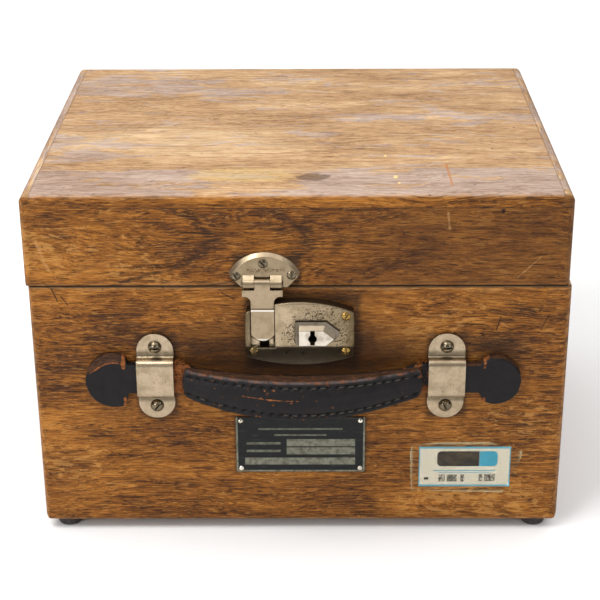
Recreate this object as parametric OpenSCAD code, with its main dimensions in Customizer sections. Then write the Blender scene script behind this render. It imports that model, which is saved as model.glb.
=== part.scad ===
// Portable instrument case: a lidded wooden box with butt hinges at the back, a hinged hasp
// closed by a sprung thumb lock, a stitched leather carrying handle in two metal loops,
// a nameplate and a taped calibration label.
// Millimetres. +Z is up, +X is to the right of someone facing the front, and the front looks
// along -Y. The origin is on the ground, at the middle of the whole object.

/* [Case] */
// Width of the box, left to right
case_w = 261.4; // [240:0.2:300]
// Depth of the box, front to back
case_d = 216; // [190:1:260]
// Height of the lower box, from its underside to the joint with the lid
base_h = 131.2; // [124:0.2:170]
// Height of the lid
lid_h = 46.5; // [40:0.5:70]
// Gap between the lid and the lower box
joint_gap = 0.2; // [0.1:0.1:0.8]
// Thickness of the four boards of the box and of the lid
board_t = 10; // [9:0.5:14]
// Thickness of the top and the bottom panel
panel_t = 6.5; // [5:0.5:8]
// Width of board left outside a panel where the panel is let in
panel_lip = 5; // [4:0.5:7]
// Rounding of the outer edges
edge_r = 3.5; // [2:0.5:4]
// Rounding of the box's corners seen from the front
corner_r = 5; // [3.5:0.5:6]
// Rounding of the edges on both sides of the joint
rim_r = 1.2; // [0.5:0.1:2]
// How far the lid sits to the left of the lower box
lid_shift = 1.3; // [0:0.1:1.5]

/* [Feet] */
// Height of a foot
foot_h = 5; // [4.5:0.5:9]
// Diameter of a foot
foot_d = 12.6; // [12:0.2:18]
// Distance of a foot's axis from the side of the box
foot_inset_x = 11; // [9:0.5:20]
// Distance of a foot's axis from the front or the back of the box
foot_inset_y = 9.5; // [8.5:0.5:20]

/* [Hinges] */
// Distance of each hinge from the middle of the back
hinge_x = 74; // [40:1:90]
// Length of a hinge
hinge_l = 38; // [30:1:50]
// Outer diameter of the knuckles
knuckle_d = 5; // [4:0.2:5.2]
// Diameter of the hinge pins
pin_d = 2.4; // [1.6:0.2:3]

/* [Hasp and lock] */
// Middle of the hasp, right of the middle of the box
hasp_x = -17.8; // [-18.4:0.1:-17.4]
// Thickness of the hasp's metal
hasp_t = 1.5; // [1:0.1:1.8]
// How far the face of the lock stands off the box
lock_t = 6.2; // [5.8:0.1:7]
// Travel of the thumb slide
slide_travel = 4.5; // [3:0.5:5]

/* [Handle] */
// Distance between the middles of the two loops
loop_span = 142.2; // [130:0.2:150]
// Width of the metal of a loop
loop_w = 18; // [14:0.5:20]
// Height of a loop, end to end
loop_h = 45.9; // [42:0.1:50]
// How far the front of the grip stands off the box
grip_bow = 20; // [18:0.5:26]
// How far the strap ends can slide inward before their heads meet the loops
end_travel = 8; // [4:0.5:8]

/* [Plates] */
// Width of the nameplate
name_w = 64.4; // [50:0.2:80]
// Height of the nameplate
name_h = 31; // [24:0.5:34]
// Width of the calibration label
label_w = 46; // [30:0.5:48]
// Height of the calibration label
label_h = 22.8; // [16:0.2:24]

/* [View] */
// Sub-part to show

/* [Hidden] */
$fn = 48;

// Fits
slack = 0.05;
run_fit = 0.04;
cut = 0.5;

// Heights and reaches of the box
lid_z = base_h + joint_gap;
top_z = lid_z + lid_h;
panel_w = case_w - 2 * panel_lip;
panel_d = case_d - 2 * panel_lip;
inner_w = case_w - 2 * board_t;
inner_d = case_d - 2 * board_t;
hinge_out = knuckle_d / 2 + 0.2;
back_reach = hinge_out + knuckle_d / 2;
case_y = (grip_bow - back_reach) / 2;

// Colours
oak = [0.62, 0.42, 0.22];
oak_pale = [0.80, 0.64, 0.44];
nickel = [0.68, 0.66, 0.58];
nickel_dark = [0.45, 0.43, 0.37];
brass = [0.72, 0.58, 0.28];
steel = [0.55, 0.55, 0.54];
black_leather = [0.09, 0.09, 0.10];
raw_leather = [0.50, 0.26, 0.11];
black_enamel = [0.07, 0.08, 0.09];
rubber = [0.06, 0.06, 0.06];
paper = [0.93, 0.90, 0.80];
clear_film = [0.90, 0.88, 0.75, 0.35];

// Screws: [head radius, shank radius, length under the head]
loop_screw = [3.35, 1.7, 10.5];
lock_screw = [2.2, 1.3, 13.5];
hasp_screw = [2.3, 1.3, 9.5];
hinge_screw = [2.2, 1.15, 9.5];
foot_screw = [2.4, 1.6, 7.5];
name_pin = [1.45, 0.7, 8];
slot_w = 0.9;

// Feet
foot_round = 2;
foot_bore_r = 2.7;
foot_bore_h = 2.4;

// Ledge strips inside the lower box
ledge_w = 8;
ledge_h = 12;
ledge_drop = 14;

// Hinges
leaf_t = 1.2;
leaf_w = 8.6;
knuckles = 5;
knuckle_pitch = hinge_l / knuckles;
knuckle_gap = 0.12;
hinge_screw_step = 13.5;
hinge_screw_in = 4.7;
pin_r = pin_d / 2;

// Hasp plate on the lid
plate_r = 19.5;
plate_t = 2.2;
plate_bevel = 1.8;
plate_z = base_h - 1.4;
plate_foot_z = base_h + 0.7;
plate_x = hasp_x + 1;
plate_half_w = 17;
plate_foot_w = 11;
hasp_barrel_r = 2.6;
hasp_axis_t = 2.7;
hasp_axis_z = base_h + 2.9;
hasp_barrel_l = 18.6;
hasp_mid_l = 7.4;
hasp_curl_h = 4.2;
hasp_curl_turn = 62;
hasp_pin_r = 1;
hasp_screws = [[-13.6, 7.9], [13, 8.4], [-0.6, 14.3]];

// Hasp tongue, measured from its hinge down
tongue_half = 5.6;
shoulder_half = 9.7;
shoulder_z = hasp_axis_z - 2.55;
shoulder_h = 3.35;
shoulder_fillet = 3;
step_z = base_h - 10.2;
step_out = 0.6;
step_h = 0.8;
tip_r = 7.1;
tip_z = base_h - 26.4;
tip_chamfer = 0.6;
leaf_back_t = hasp_axis_t + hasp_barrel_r - hasp_t;
tongue_back_t = leaf_back_t + step_out;
staple_x = hasp_x + 0.7;
staple_w = 3.6;
staple_z = base_h - 22;
staple_h = 5.5;
staple_deep_t = 1.2;
staple_wall = 1.5;
staple_end = 0.8;

// Lock case
lock_half_w = 26.2;
lock_low_z = base_h - 40.8;
lock_high_z = base_h - 5.6;
lock_mid_z = (lock_low_z + lock_high_z) / 2;
lock_bulge_r = 66;
lock_side_r = 190;
lock_corner_cut = 23.4;
slope_z = base_h - 28.7;
slope_t = 1.4;
channel_low = hasp_x - tongue_half - 0.4;
channel_high = hasp_x + tongue_half + 0.3;
channel_floor_t = 3.6;
channel_z = base_h - 29.8;
staple_slot_w = 4.5;
plate_back_t = 0.8;
cavity_x = [-12.4, 21];
cavity_z = [base_h - 28, base_h - 16.2];
face_wall = 1.3;
back_plate_x = [-19.4, 22.6];
back_plate_z = [base_h - 30, base_h - 14.6];
lock_screw_x = 22.2;
lock_screw_low = base_h - 31.7;
lock_screw_high = base_h - 12.8;
hidden_screw_x = -21.3;

// Thumb slide
flange_t = 1.1;
button_t = 3.3;
ride_gap = 0.1;
button_x = -0.4;
button_low = base_h - 27;
button_high = base_h - 17;
button_bevel = 2.2;
flange_grow = 1.7;
stem_x = [2.8, 9.4];
stem_z = [base_h - 26.4, base_h - 18.8];
stem_gap = 0.15;
key_x = 6.1;
key_z = base_h - 23.3;
key_r = 2.1;
key_slot_w = 2.2;
key_slot_z = [base_h - 26.6, base_h - 19.1];
carriage_x = [-3, 12.4];
carriage_z = [base_h - 27.4, base_h - 16.8];
carriage_t = [1.9, 3.2];
nose_gap = 0.3;
nose_x = staple_x + staple_w / 2 + nose_gap;
nose_z = [base_h - 20.3, base_h - 18.2];
spring_r = 1.25;
spring_wire = 0.45;
spring_turns = 5;
spring_z = base_h - 22;
spring_t = 2.6;

// Handle
loop_z = base_h - 47.25;
loop_x = [0.4 - loop_span / 2, 0.4 + loop_span / 2];
loop_metal = 1.5;
arch_t = 6.5;
arch_half = 10.4;
arch_r = 3.4;
loop_screw_step = 16;
strap_t = [0.4, 4.5];
strap_half = 7.9;
head_t = [0.4, 5.8];
head_r = 12.8;
head_past = 4.4;
head_drop = 1.2;
neck_l = end_travel + 0.3;
strap_in = 1.5;
grip_half = 56.5;
grip_end_t = 9;
grip_back_t = 10;
grip_back_end_t = 3;
cover_t = 2.4;
backing_t = 2.2;
backing_half = 58.6;
filler_half = 52;
filler_in = 1.6;
layer_gap = 0.06;
grip_low_z = base_h - 62.4;
grip_low_end_z = base_h - 55.3;
grip_high_z = base_h - 41.5;
grip_high_end_z = base_h - 40.2;

// Nameplate and label
name_z = base_h - 85.9;
name_t = 0.8;
name_corner = 1;
pin_in_x = 2.4;
pin_in_z = 2;
label_x = 82.5;
label_z = base_h - 99.1;
label_t = 0.15;
tape_t = 0.1;

// ---------------------------------------------------------------- frames

// The box's own frame: middle of the box, underside of its boards
module on_case() {
    translate([lid_shift / 2, case_y, foot_h]) children();
}

// The lid's boards sit a little to the left
module on_lid() {
    on_case() translate([-lid_shift, 0, 0]) children();
}

// The front face: x to the right, y up, z out toward the user
module on_front(x = 0, z = 0) {
    on_case() translate([x, -case_d / 2, z]) rotate([90, 0, 0]) children();
}

// A shape drawn as [distance off the face, height] and extruded sideways
module across(l) {
    rotate([0, -90, 0]) linear_extrude(l, center = true) children();
}

// ---------------------------------------------------------------- shapes

function sag_radius(half, sag) = (half * half + sag * sag) / (2 * sag);

// What a rounded corner leaves off a square one; the board lies toward sx and sy
module corner_waste(r, sx, sy) {
    difference() {
        translate([sx > 0 ? -cut : -r, sy > 0 ? -cut : -r]) square(r + cut);
        translate([sx * r, sy * r]) circle(r);
    }
}

// A standing rectangle on the X axis with its own rounding below and above
module eased_rect(w, h, r_low, r_high) {
    difference() {
        translate([-w / 2, 0]) square([w, h]);
        for (side = [-1, 1]) {
            translate([side * w / 2, 0]) corner_waste(r_low, -side, 1);
            translate([side * w / 2, h]) corner_waste(r_high, -side, -1);
        }
    }
}

// The outer form of the box or the lid, eased along all twelve edges; low and high give the
// rounding along the front and the back, then along the sides
module eased_box(h, low, high) {
    intersection() {
        translate([0, -case_d / 2, 0])
            linear_extrude(h) eased_rect(case_w, case_d, edge_r, edge_r);
        translate([0, case_d / 2, 0]) rotate([90, 0, 0])
            linear_extrude(case_d) eased_rect(case_w, h, low[1], high[1]);
        translate([-case_w / 2, 0, 0]) rotate([90, 0, 90])
            linear_extrude(case_w) eased_rect(case_d, h, low[0], high[0]);
    }
}

module base_form() {
    eased_box(base_h, [edge_r, corner_r], [rim_r, rim_r]);
}

module lid_form() {
    translate([0, 0, lid_z]) eased_box(lid_h, [rim_r, rim_r], [edge_r, corner_r]);
}

// A board of full width at the front (side = -1) or the back (side = 1)
module long_board_space(side, z, h) {
    y = side > 0 ? case_d / 2 - board_t : -case_d / 2 - cut;
    translate([-case_w / 2 - cut, y, z - cut]) cube([case_w + 2 * cut, board_t + cut, h + 2 * cut]);
}

// A board between the two long ones, on the left (side = -1) or the right (side = 1)
module short_board_space(side, z, h) {
    x = side > 0 ? case_w / 2 - board_t : -case_w / 2 - cut;
    translate([x, -inner_d / 2, z - cut]) cube([board_t + cut, inner_d, h + 2 * cut]);
}

module bottom_panel_space() {
    translate([-panel_w / 2, -panel_d / 2, -cut]) cube([panel_w, panel_d, panel_t + cut]);
}

module top_panel_space() {
    translate([-panel_w / 2, -case_d / 2 - cut, top_z - panel_t])
        cube([panel_w, case_d + 2 * cut, panel_t + cut]);
}

// ---------------------------------------------------------------- fasteners

// Screws are drawn in the frame of the face they are driven into: z out, head on z = 0
module pointed_shank(screw, grow = 0) {
    r = screw[1] + grow;
    tip = screw[1] * 1.6;
    translate([0, 0, -screw[2] + tip - grow]) cylinder(h = screw[2] - tip + grow, r = r);
    translate([0, 0, -screw[2] - grow]) cylinder(h = tip, r1 = 0.15, r2 = r);
}

module round_head_screw(screw, turn) {
    head_h = screw[0] * 0.78;
    sphere_r = sag_radius(screw[0], head_h);
    difference() {
        union() {
            intersection() {
                translate([0, 0, head_h - sphere_r]) sphere(sphere_r);
                cylinder(h = head_h + cut, r = screw[0]);
            }
            pointed_shank(screw);
        }
        rotate([0, 0, turn]) translate([-screw[0] - cut, -slot_w / 2, head_h * 0.45])
            cube([2 * screw[0] + 2 * cut, slot_w, head_h]);
    }
}

// A countersunk head with a low dome; z = 0 is the surface it is sunk into
module oval_head_screw(screw, turn, dome = 0.8) {
    cone = screw[0] - screw[1];
    sphere_r = sag_radius(screw[0], dome);
    difference() {
        union() {
            intersection() {
                translate([0, 0, dome - sphere_r]) sphere(sphere_r);
                cylinder(h = dome + cut, r = screw[0]);
            }
            translate([0, 0, -cone]) cylinder(h = cone, r1 = screw[1], r2 = screw[0]);
            pointed_shank(screw);
        }
        rotate([0, 0, turn]) translate([-screw[0] - cut, -slot_w / 2, dome * 0.5 - 0.5])
            cube([2 * screw[0] + 2 * cut, slot_w, dome + 1]);
    }
}

// A countersunk head that finishes flush
module flat_head_screw(screw, turn) {
    cone = screw[0] - screw[1];
    difference() {
        union() {
            translate([0, 0, -cone]) cylinder(h = cone, r1 = screw[1], r2 = screw[0]);
            pointed_shank(screw);
        }
        rotate([0, 0, turn]) translate([-screw[0] - cut, -slot_w / 2, -0.5])
            cube([2 * screw[0] + 2 * cut, slot_w, 1]);
    }
}

module sunk_hole(screw) {
    r = screw[1] + slack;
    cone = screw[0] - screw[1];
    translate([0, 0, -cone]) cylinder(h = cone + slack, r1 = r, r2 = screw[0] + 2 * slack);
    translate([0, 0, -screw[2] - cut]) cylinder(h = screw[2] + cut, r = r);
    translate([0, 0, slack]) cylinder(h = 3, r = screw[0] + 2 * slack);
}

module plain_hole(screw) {
    translate([0, 0, -screw[2] - cut]) cylinder(h = screw[2] + 2 * cut, r = screw[1] + slack);
}

// Where each front fitting is screwed on: the screws' own places are shared by every hole
module at_loop_screws() {
    for (x = loop_x, side = [-1, 1])
        on_front(x, loop_z + side * loop_screw_step) translate([0, 0, loop_metal]) children();
}

module at_lock_screws(i) {
    places = [
        [lock_screw_x, lock_screw_high, lock_t],
        [lock_screw_x, lock_screw_low, 5.1],
        [-lock_screw_x, lock_screw_low, 5.1],
        [hidden_screw_x, lock_screw_high, channel_floor_t]
    ];
    on_front(places[i][0], places[i][1]) translate([0, 0, places[i][2]]) children();
}

module at_name_pins() {
    for (sx = [-1, 1], sz = [-1, 1])
        on_front(sx * (name_w / 2 - pin_in_x), name_z + sz * (name_h / 2 - pin_in_z))
            translate([0, 0, name_t]) children();
}

module at_hasp_screws(i) {
    on_front(plate_x + hasp_screws[i][0], plate_z + hasp_screws[i][1])
        translate([0, 0, plate_t]) children();
}

module at_feet() {
    for (sx = [-1, 1], sy = [-1, 1])
        on_case() translate([sx * (case_w / 2 - foot_inset_x), sy * (case_d / 2 - foot_inset_y), 0])
            children();
}

// ---------------------------------------------------------------- lower box

module base_front() {
    color(oak) difference() {
        on_case() difference() {
            intersection() {
                base_form();
                long_board_space(-1, 0, base_h);
            }
            bottom_panel_space();
        }
        at_loop_screws() pointed_shank(loop_screw, slack);
        for (i = [0:3]) at_lock_screws(i) pointed_shank(lock_screw, slack);
        at_name_pins() pointed_shank(name_pin, slack);
    }
}

module base_back() {
    color(oak) on_case() difference() {
        intersection() {
            base_form();
            long_board_space(1, 0, base_h);
        }
        bottom_panel_space();
        for (side = [-1, 1]) at_hinge(side) {
            leaf_seat(-1);
            at_leaf_screws(-1) pointed_shank(hinge_screw, slack);
        }
    }
}

module base_side(side) {
    color(oak) on_case() difference() {
        intersection() {
            base_form();
            short_board_space(side, 0, base_h);
        }
        bottom_panel_space();
    }
}

module base_left() {
    base_side(-1);
}

module base_right() {
    base_side(1);
}

module base_bottom() {
    color(oak_pale) difference() {
        on_case() intersection() {
            base_form();
            bottom_panel_space();
        }
        at_feet() rotate([180, 0, 0]) translate([0, 0, foot_h - foot_bore_h])
            pointed_shank(foot_screw, slack);
    }
}

// Strips along both sides that carry the instrument's panel
module ledge_strips() {
    color(oak_pale) for (side = [-1, 1])
        on_case() translate([side > 0 ? inner_w / 2 - ledge_w : -inner_w / 2, -inner_d / 2,
            base_h - ledge_drop - ledge_h]) cube([ledge_w, inner_d, ledge_h]);
}

module foot_profile() {
    r = foot_d / 2;
    translate([0, -foot_h]) square([r - foot_round, foot_h]);
    translate([0, foot_round - foot_h]) square([r, foot_h - foot_round]);
    translate([r - foot_round, foot_round - foot_h]) circle(foot_round);
}

module feet() {
    color(rubber) at_feet() difference() {
        rotate_extrude() intersection() {
            foot_profile();
            translate([0, -foot_h]) square([foot_d, foot_h]);
        }
        translate([0, 0, -foot_h - cut]) cylinder(h = foot_bore_h + cut, r = foot_bore_r);
        translate([0, 0, -foot_h]) cylinder(h = foot_h + cut, r = foot_screw[1] + slack);
    }
}

module foot_screws() {
    color(steel) at_feet() rotate([180, 0, 0]) translate([0, 0, foot_h - foot_bore_h])
        round_head_screw(foot_screw, 20);
}

module nameplate() {
    color(black_enamel) difference() {
        on_front(0, name_z - name_h / 2)
            linear_extrude(name_t) eased_rect(name_w, name_h, name_corner, name_corner);
        at_name_pins() translate([0, 0, slack]) plain_hole(name_pin);
    }
}

module nameplate_pins() {
    sphere_r = sag_radius(name_pin[0], 1);
    color(nickel) at_name_pins() {
        intersection() {
            translate([0, 0, 1 - sphere_r]) sphere(sphere_r);
            cylinder(h = 2, r = name_pin[0]);
        }
        pointed_shank(name_pin);
    }
}

module label_area(t, grow = 0) {
    translate([-label_w / 2 - grow, -label_h / 2 - grow, -grow])
        cube([label_w + 2 * grow, label_h + 2 * grow, t + 2 * grow]);
}

module calibration_label() {
    color(paper) on_front(label_x, label_z) label_area(label_t);
}

// One piece of clear tape over the label, torn at its corners, that holds it to the box
module label_tape() {
    x = label_w / 2;
    z = label_h / 2;
    color(clear_film) on_front(label_x, label_z) difference() {
        linear_extrude(label_t + tape_t) polygon([
            [-x - 3.6, -z - 2.2], [-x - 4.6, z - 3], [-x - 3.8, z + 1], [-x + 9, z + 2.6],
            [x - 11, z + 2.8], [x + 5.6, z - 2.4], [x + 5.4, z - 6], [x - 3.2, -z - 3.6]
        ]);
        translate([0, 0, -0.01]) label_area(label_t, 0.01);
    }
}

// ---------------------------------------------------------------- handle loops

module loop_profile() {
    difference() {
        union() {
            translate([0, -loop_h / 2]) square([loop_metal, loop_h]);
            translate([0, -arch_half]) square([arch_t - arch_r, 2 * arch_half]);
            translate([0, -arch_half + arch_r]) square([arch_t, 2 * (arch_half - arch_r)]);
            for (side = [-1, 1]) {
                translate([arch_t - arch_r, side * (arch_half - arch_r)]) circle(arch_r);
                translate([loop_metal, side * arch_half]) difference() {
                    translate([0, side > 0 ? 0 : -loop_metal]) square(loop_metal);
                    translate([loop_metal, side * loop_metal]) circle(loop_metal);
                }
            }
        }
        inner_r = arch_r - loop_metal;
        inner_t = arch_t - loop_metal;
        inner_half = arch_half - loop_metal;
        translate([-cut, -inner_half]) square([inner_t - inner_r + cut, 2 * inner_half]);
        translate([-cut, inner_r - inner_half])
            square([inner_t + cut, 2 * (inner_half - inner_r)]);
        for (side = [-1, 1])
            translate([inner_t - inner_r, side * (inner_half - inner_r)]) circle(inner_r);
    }
}

module loop_outline() {
    r = loop_w / 2;
    translate([-r, r - loop_h / 2]) square([loop_w, loop_h - loop_w]);
    for (side = [-1, 1]) translate([0, side * (loop_h / 2 - r)]) circle(r);
}

module handle_loops() {
    color(nickel) difference() {
        for (x = loop_x) on_front(x, loop_z) intersection() {
            across(loop_w + 2 * cut) loop_profile();
            linear_extrude(arch_t + cut) loop_outline();
        }
        at_loop_screws() plain_hole(loop_screw);
    }
}

module loop_screws() {
    turns = [0, 50, 5, -65];
    color(nickel_dark) for (i = [0:3]) {
        side = i % 2 == 0 ? 1 : -1;
        on_front(loop_x[floor(i / 2)], loop_z + side * loop_screw_step)
            translate([0, 0, loop_metal]) round_head_screw(loop_screw, turns[i]);
    }
}

// ---------------------------------------------------------------- lock

// Four bulging sides with cut corners
module lock_outline() {
    half_h = (lock_high_z - lock_low_z) / 2;
    translate([0, lock_mid_z]) intersection() {
        translate([0, half_h - lock_bulge_r]) circle(lock_bulge_r, $fn = 180);
        translate([0, lock_bulge_r - half_h]) circle(lock_bulge_r, $fn = 180);
        translate([lock_side_r - lock_half_w, 0]) circle(lock_side_r, $fn = 180);
        translate([lock_half_w - lock_side_r, 0]) circle(lock_side_r, $fn = 180);
        rotate(45) square([2 * lock_corner_cut * sqrt(2) - 5, 2 * lock_corner_cut * sqrt(2) - 5],
            center = true);
    }
}

// Side view: a flat face above, a long slope below
module lock_side() {
    polygon([
        [0, lock_low_z - 1], [slope_t, lock_low_z], [lock_t, slope_z],
        [lock_t, lock_high_z - 1], [lock_t - 0.7, lock_high_z + 1], [0, lock_high_z + 1]
    ]);
}

module between(xs, zs, t0, t1, grow = 0) {
    translate([xs[0] - grow, zs[0] - grow, t0])
        cube([xs[1] - xs[0] + 2 * grow, zs[1] - zs[0] + 2 * grow, t1 - t0]);
}

module lock_case() {
    above = lock_high_z + 3;
    slot_x = [staple_x - staple_slot_w / 2, staple_x + staple_slot_w / 2];
    run = [stem_x[0] - stem_gap, stem_x[1] + slide_travel + stem_gap];
    color(nickel) difference() {
        on_front() difference() {
            intersection() {
                linear_extrude(lock_t) lock_outline();
                across(2 * case_w) lock_side();
            }
            between([channel_low, channel_high], [channel_z, above], channel_floor_t, lock_t + cut);
            between(slot_x, [channel_z, above], -cut, lock_t + cut);
            between(cavity_x, cavity_z, -cut, lock_t - face_wall);
            between([slot_x[0], cavity_x[1]], [nose_z[0] - 0.4, nose_z[1] + 0.4], -cut, 3.5);
            between(run, stem_z, 0, lock_t + cut, stem_gap);
            between(back_plate_x, back_plate_z, -cut, plate_back_t, slack);
        }
        for (i = [0:3]) at_lock_screws(i) sunk_hole(lock_screw);
    }
}

module lock_back_plate() {
    color(steel) on_front() between(back_plate_x, back_plate_z, 0, plate_back_t);
}

module lock_screws() {
    turns = [60, 80, 45, 10];
    color(brass) {
        for (i = [0:2]) at_lock_screws(i) oval_head_screw(lock_screw, turns[i]);
        at_lock_screws(3) flat_head_screw(lock_screw, turns[3]);
    }
}

// Cross-section of the coil at right angles to its axis
module coil_section() {
    half_turn = 180 * spring_wire * spring_turns / (cavity_x[1] - carriage_x[1]);
    r0 = spring_r - spring_wire / 2;
    r1 = spring_r + spring_wire / 2;
    steps = [-1:0.5:1];
    polygon(concat(
        [for (k = steps) r1 * [cos(k * half_turn), sin(k * half_turn)]],
        [for (k = steps) r0 * [cos(-k * half_turn), sin(-k * half_turn)]]
    ));
}

module lock_spring() {
    l = cavity_x[1] - carriage_x[1] - 0.2;
    color(steel) on_front() translate([carriage_x[1] + 0.1, spring_z, spring_t])
        rotate([0, 90, 0])
            linear_extrude(l, twist = 360 * spring_turns, slices = 12 * spring_turns, $fn = 8)
                coil_section();
}

// ---------------------------------------------------------------- hinges

// Frame of one hinge: middle of its length, back face of the box, top of the lower box
module at_hinge(side) {
    translate([side * hinge_x, case_d / 2, base_h]) children();
}

// side = -1 is the leaf let into the lower box, side = 1 the leaf let into the lid
module leaf_seat(side) {
    z = side > 0 ? joint_gap - cut : -leaf_t - slack;
    translate([-hinge_l / 2 - slack, -leaf_w - slack, z])
        cube([hinge_l + 2 * slack, leaf_w + cut, leaf_t + cut + slack]);
}

module at_leaf_screws(side) {
    for (k = [-1:1]) translate([k * hinge_screw_step, -hinge_screw_in, side > 0 ? joint_gap : 0])
        rotate([side > 0 ? 180 : 0, 0, 0]) children();
}

module hinge_leaf(side) {
    z = side > 0 ? joint_gap : -leaf_t;
    difference() {
        union() {
            translate([-hinge_l / 2, -leaf_w, z]) cube([hinge_l, leaf_w, leaf_t]);
            for (i = [0:knuckles - 1]) if ((i % 2 == 0) == (side < 0)) {
                x = -hinge_l / 2 + i * knuckle_pitch + knuckle_gap / 2;
                translate([x, -cut, z]) cube([knuckle_pitch - knuckle_gap, hinge_out + cut, leaf_t]);
                translate([x, hinge_out, joint_gap / 2]) rotate([0, 90, 0])
                    cylinder(h = knuckle_pitch - knuckle_gap, r = knuckle_d / 2);
            }
        }
        translate([-hinge_l / 2 - cut, hinge_out, joint_gap / 2]) rotate([0, 90, 0])
            cylinder(h = hinge_l + 2 * cut, r = pin_r + run_fit);
        at_leaf_screws(side) sunk_hole(hinge_screw);
    }
}

module hinge_base_leaves() {
    color(brass) for (side = [-1, 1]) on_case() at_hinge(side) hinge_leaf(-1);
}

module hinge_lid_leaves() {
    color(brass) for (side = [-1, 1]) on_case() at_hinge(side) hinge_leaf(1);
}

module hinge_pins() {
    color(steel) for (side = [-1, 1]) on_case() at_hinge(side)
        translate([-hinge_l / 2, hinge_out, joint_gap / 2]) rotate([0, 90, 0])
            cylinder(h = hinge_l, r = pin_r);
}

module hinge_base_screws() {
    color(brass) for (side = [-1, 1]) on_case() at_hinge(side)
        at_leaf_screws(-1) flat_head_screw(hinge_screw, 35);
}

module hinge_lid_screws() {
    color(brass) for (side = [-1, 1]) on_case() at_hinge(side)
        at_leaf_screws(1) flat_head_screw(hinge_screw, 70);
}

// ---------------------------------------------------------------- lid

module lid_front() {
    color(oak) difference() {
        on_lid() difference() {
            intersection() {
                lid_form();
                long_board_space(-1, lid_z, lid_h);
            }
            top_panel_space();
        }
        for (i = [0:2]) at_hasp_screws(i) pointed_shank(hasp_screw, slack);
    }
}

module lid_back() {
    color(oak) difference() {
        on_lid() difference() {
            intersection() {
                lid_form();
                long_board_space(1, lid_z, lid_h);
            }
            top_panel_space();
        }
        on_case() for (side = [-1, 1]) at_hinge(side) {
            leaf_seat(1);
            at_leaf_screws(1) pointed_shank(hinge_screw, slack);
        }
    }
}

module lid_side(side) {
    color(oak) on_lid() difference() {
        intersection() {
            lid_form();
            short_board_space(side, lid_z, lid_h);
        }
        top_panel_space();
    }
}

module lid_left() {
    lid_side(-1);
}

module lid_right() {
    lid_side(1);
}

module lid_top() {
    color(oak_pale) on_lid() intersection() {
        lid_form();
        top_panel_space();
    }
}

// ---------------------------------------------------------------- hasp

module at_hasp_axis() {
    on_front(hasp_x, hasp_axis_z) translate([0, 0, hasp_axis_t]) rotate([0, 90, 0]) children();
}

// Side view of the metal that curls from the plate's face onto a knuckle
module hasp_curl() {
    r = hasp_barrel_r;
    face = hasp_axis_t - plate_t;
    polygon([
        [hasp_axis_t - 1, 0], [0, 0], [-r * cos(hasp_curl_turn), r * sin(hasp_curl_turn)],
        [face, hasp_curl_h], [hasp_axis_t - 1, hasp_curl_h]
    ]);
}

// Half-moon plate with a bevelled rim and the two outer knuckles
module hasp_plate() {
    mid = hasp_mid_l / 2 + 0.15;
    z0 = plate_foot_z - plate_z;
    color(nickel) difference() {
        union() {
            on_front(plate_x, plate_z) intersection() {
                cylinder(h = plate_t, r1 = plate_r, r2 = plate_r - plate_bevel);
                linear_extrude(plate_t) polygon([
                    [-plate_foot_w, z0], [plate_foot_w, z0], [plate_half_w, z0 + 6.4],
                    [plate_half_w, plate_r], [-plate_half_w, plate_r], [-plate_half_w, z0 + 6.4]
                ]);
            }
            for (side = [-1, 1]) at_hasp_axis()
                translate([0, 0, side > 0 ? mid : -hasp_barrel_l / 2]) {
                    cylinder(h = hasp_barrel_l / 2 - mid, r = hasp_barrel_r);
                    linear_extrude(hasp_barrel_l / 2 - mid) hasp_curl();
                }
        }
        at_hasp_axis() translate([0, 0, -mid]) cylinder(h = 2 * mid, r = hasp_barrel_r + 0.3);
        at_hasp_axis() translate([0, 0, -hasp_barrel_l / 2 - cut])
            cylinder(h = hasp_barrel_l + 2 * cut, r = hasp_pin_r + run_fit);
        for (i = [0:2]) at_hasp_screws(i) sunk_hole(hasp_screw);
    }
}

module hasp_plate_screws() {
    turns = [-60, 75, -50];
    color(nickel_dark) for (i = [0:2]) at_hasp_screws(i) oval_head_screw(hasp_screw, turns[i]);
}

module hasp_pin() {
    color(steel) at_hasp_axis() translate([0, 0, -hasp_barrel_l / 2])
        cylinder(h = hasp_barrel_l, r = hasp_pin_r);
}

// Upper leaf: shoulders, then concave corners into the narrow tongue
module shoulder_outline() {
    z1 = shoulder_z - shoulder_h;
    translate([-shoulder_half, z1]) square([2 * shoulder_half, shoulder_h]);
    translate([-tongue_half, step_z]) square([2 * tongue_half, shoulder_z - step_z]);
    for (side = [-1, 1]) translate([side * tongue_half, z1]) difference() {
        translate([side > 0 ? -cut : -shoulder_fillet, -shoulder_fillet])
            square([shoulder_fillet + cut, shoulder_fillet + cut]);
        translate([side * shoulder_fillet, -shoulder_fillet]) circle(shoulder_fillet);
    }
}

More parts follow.
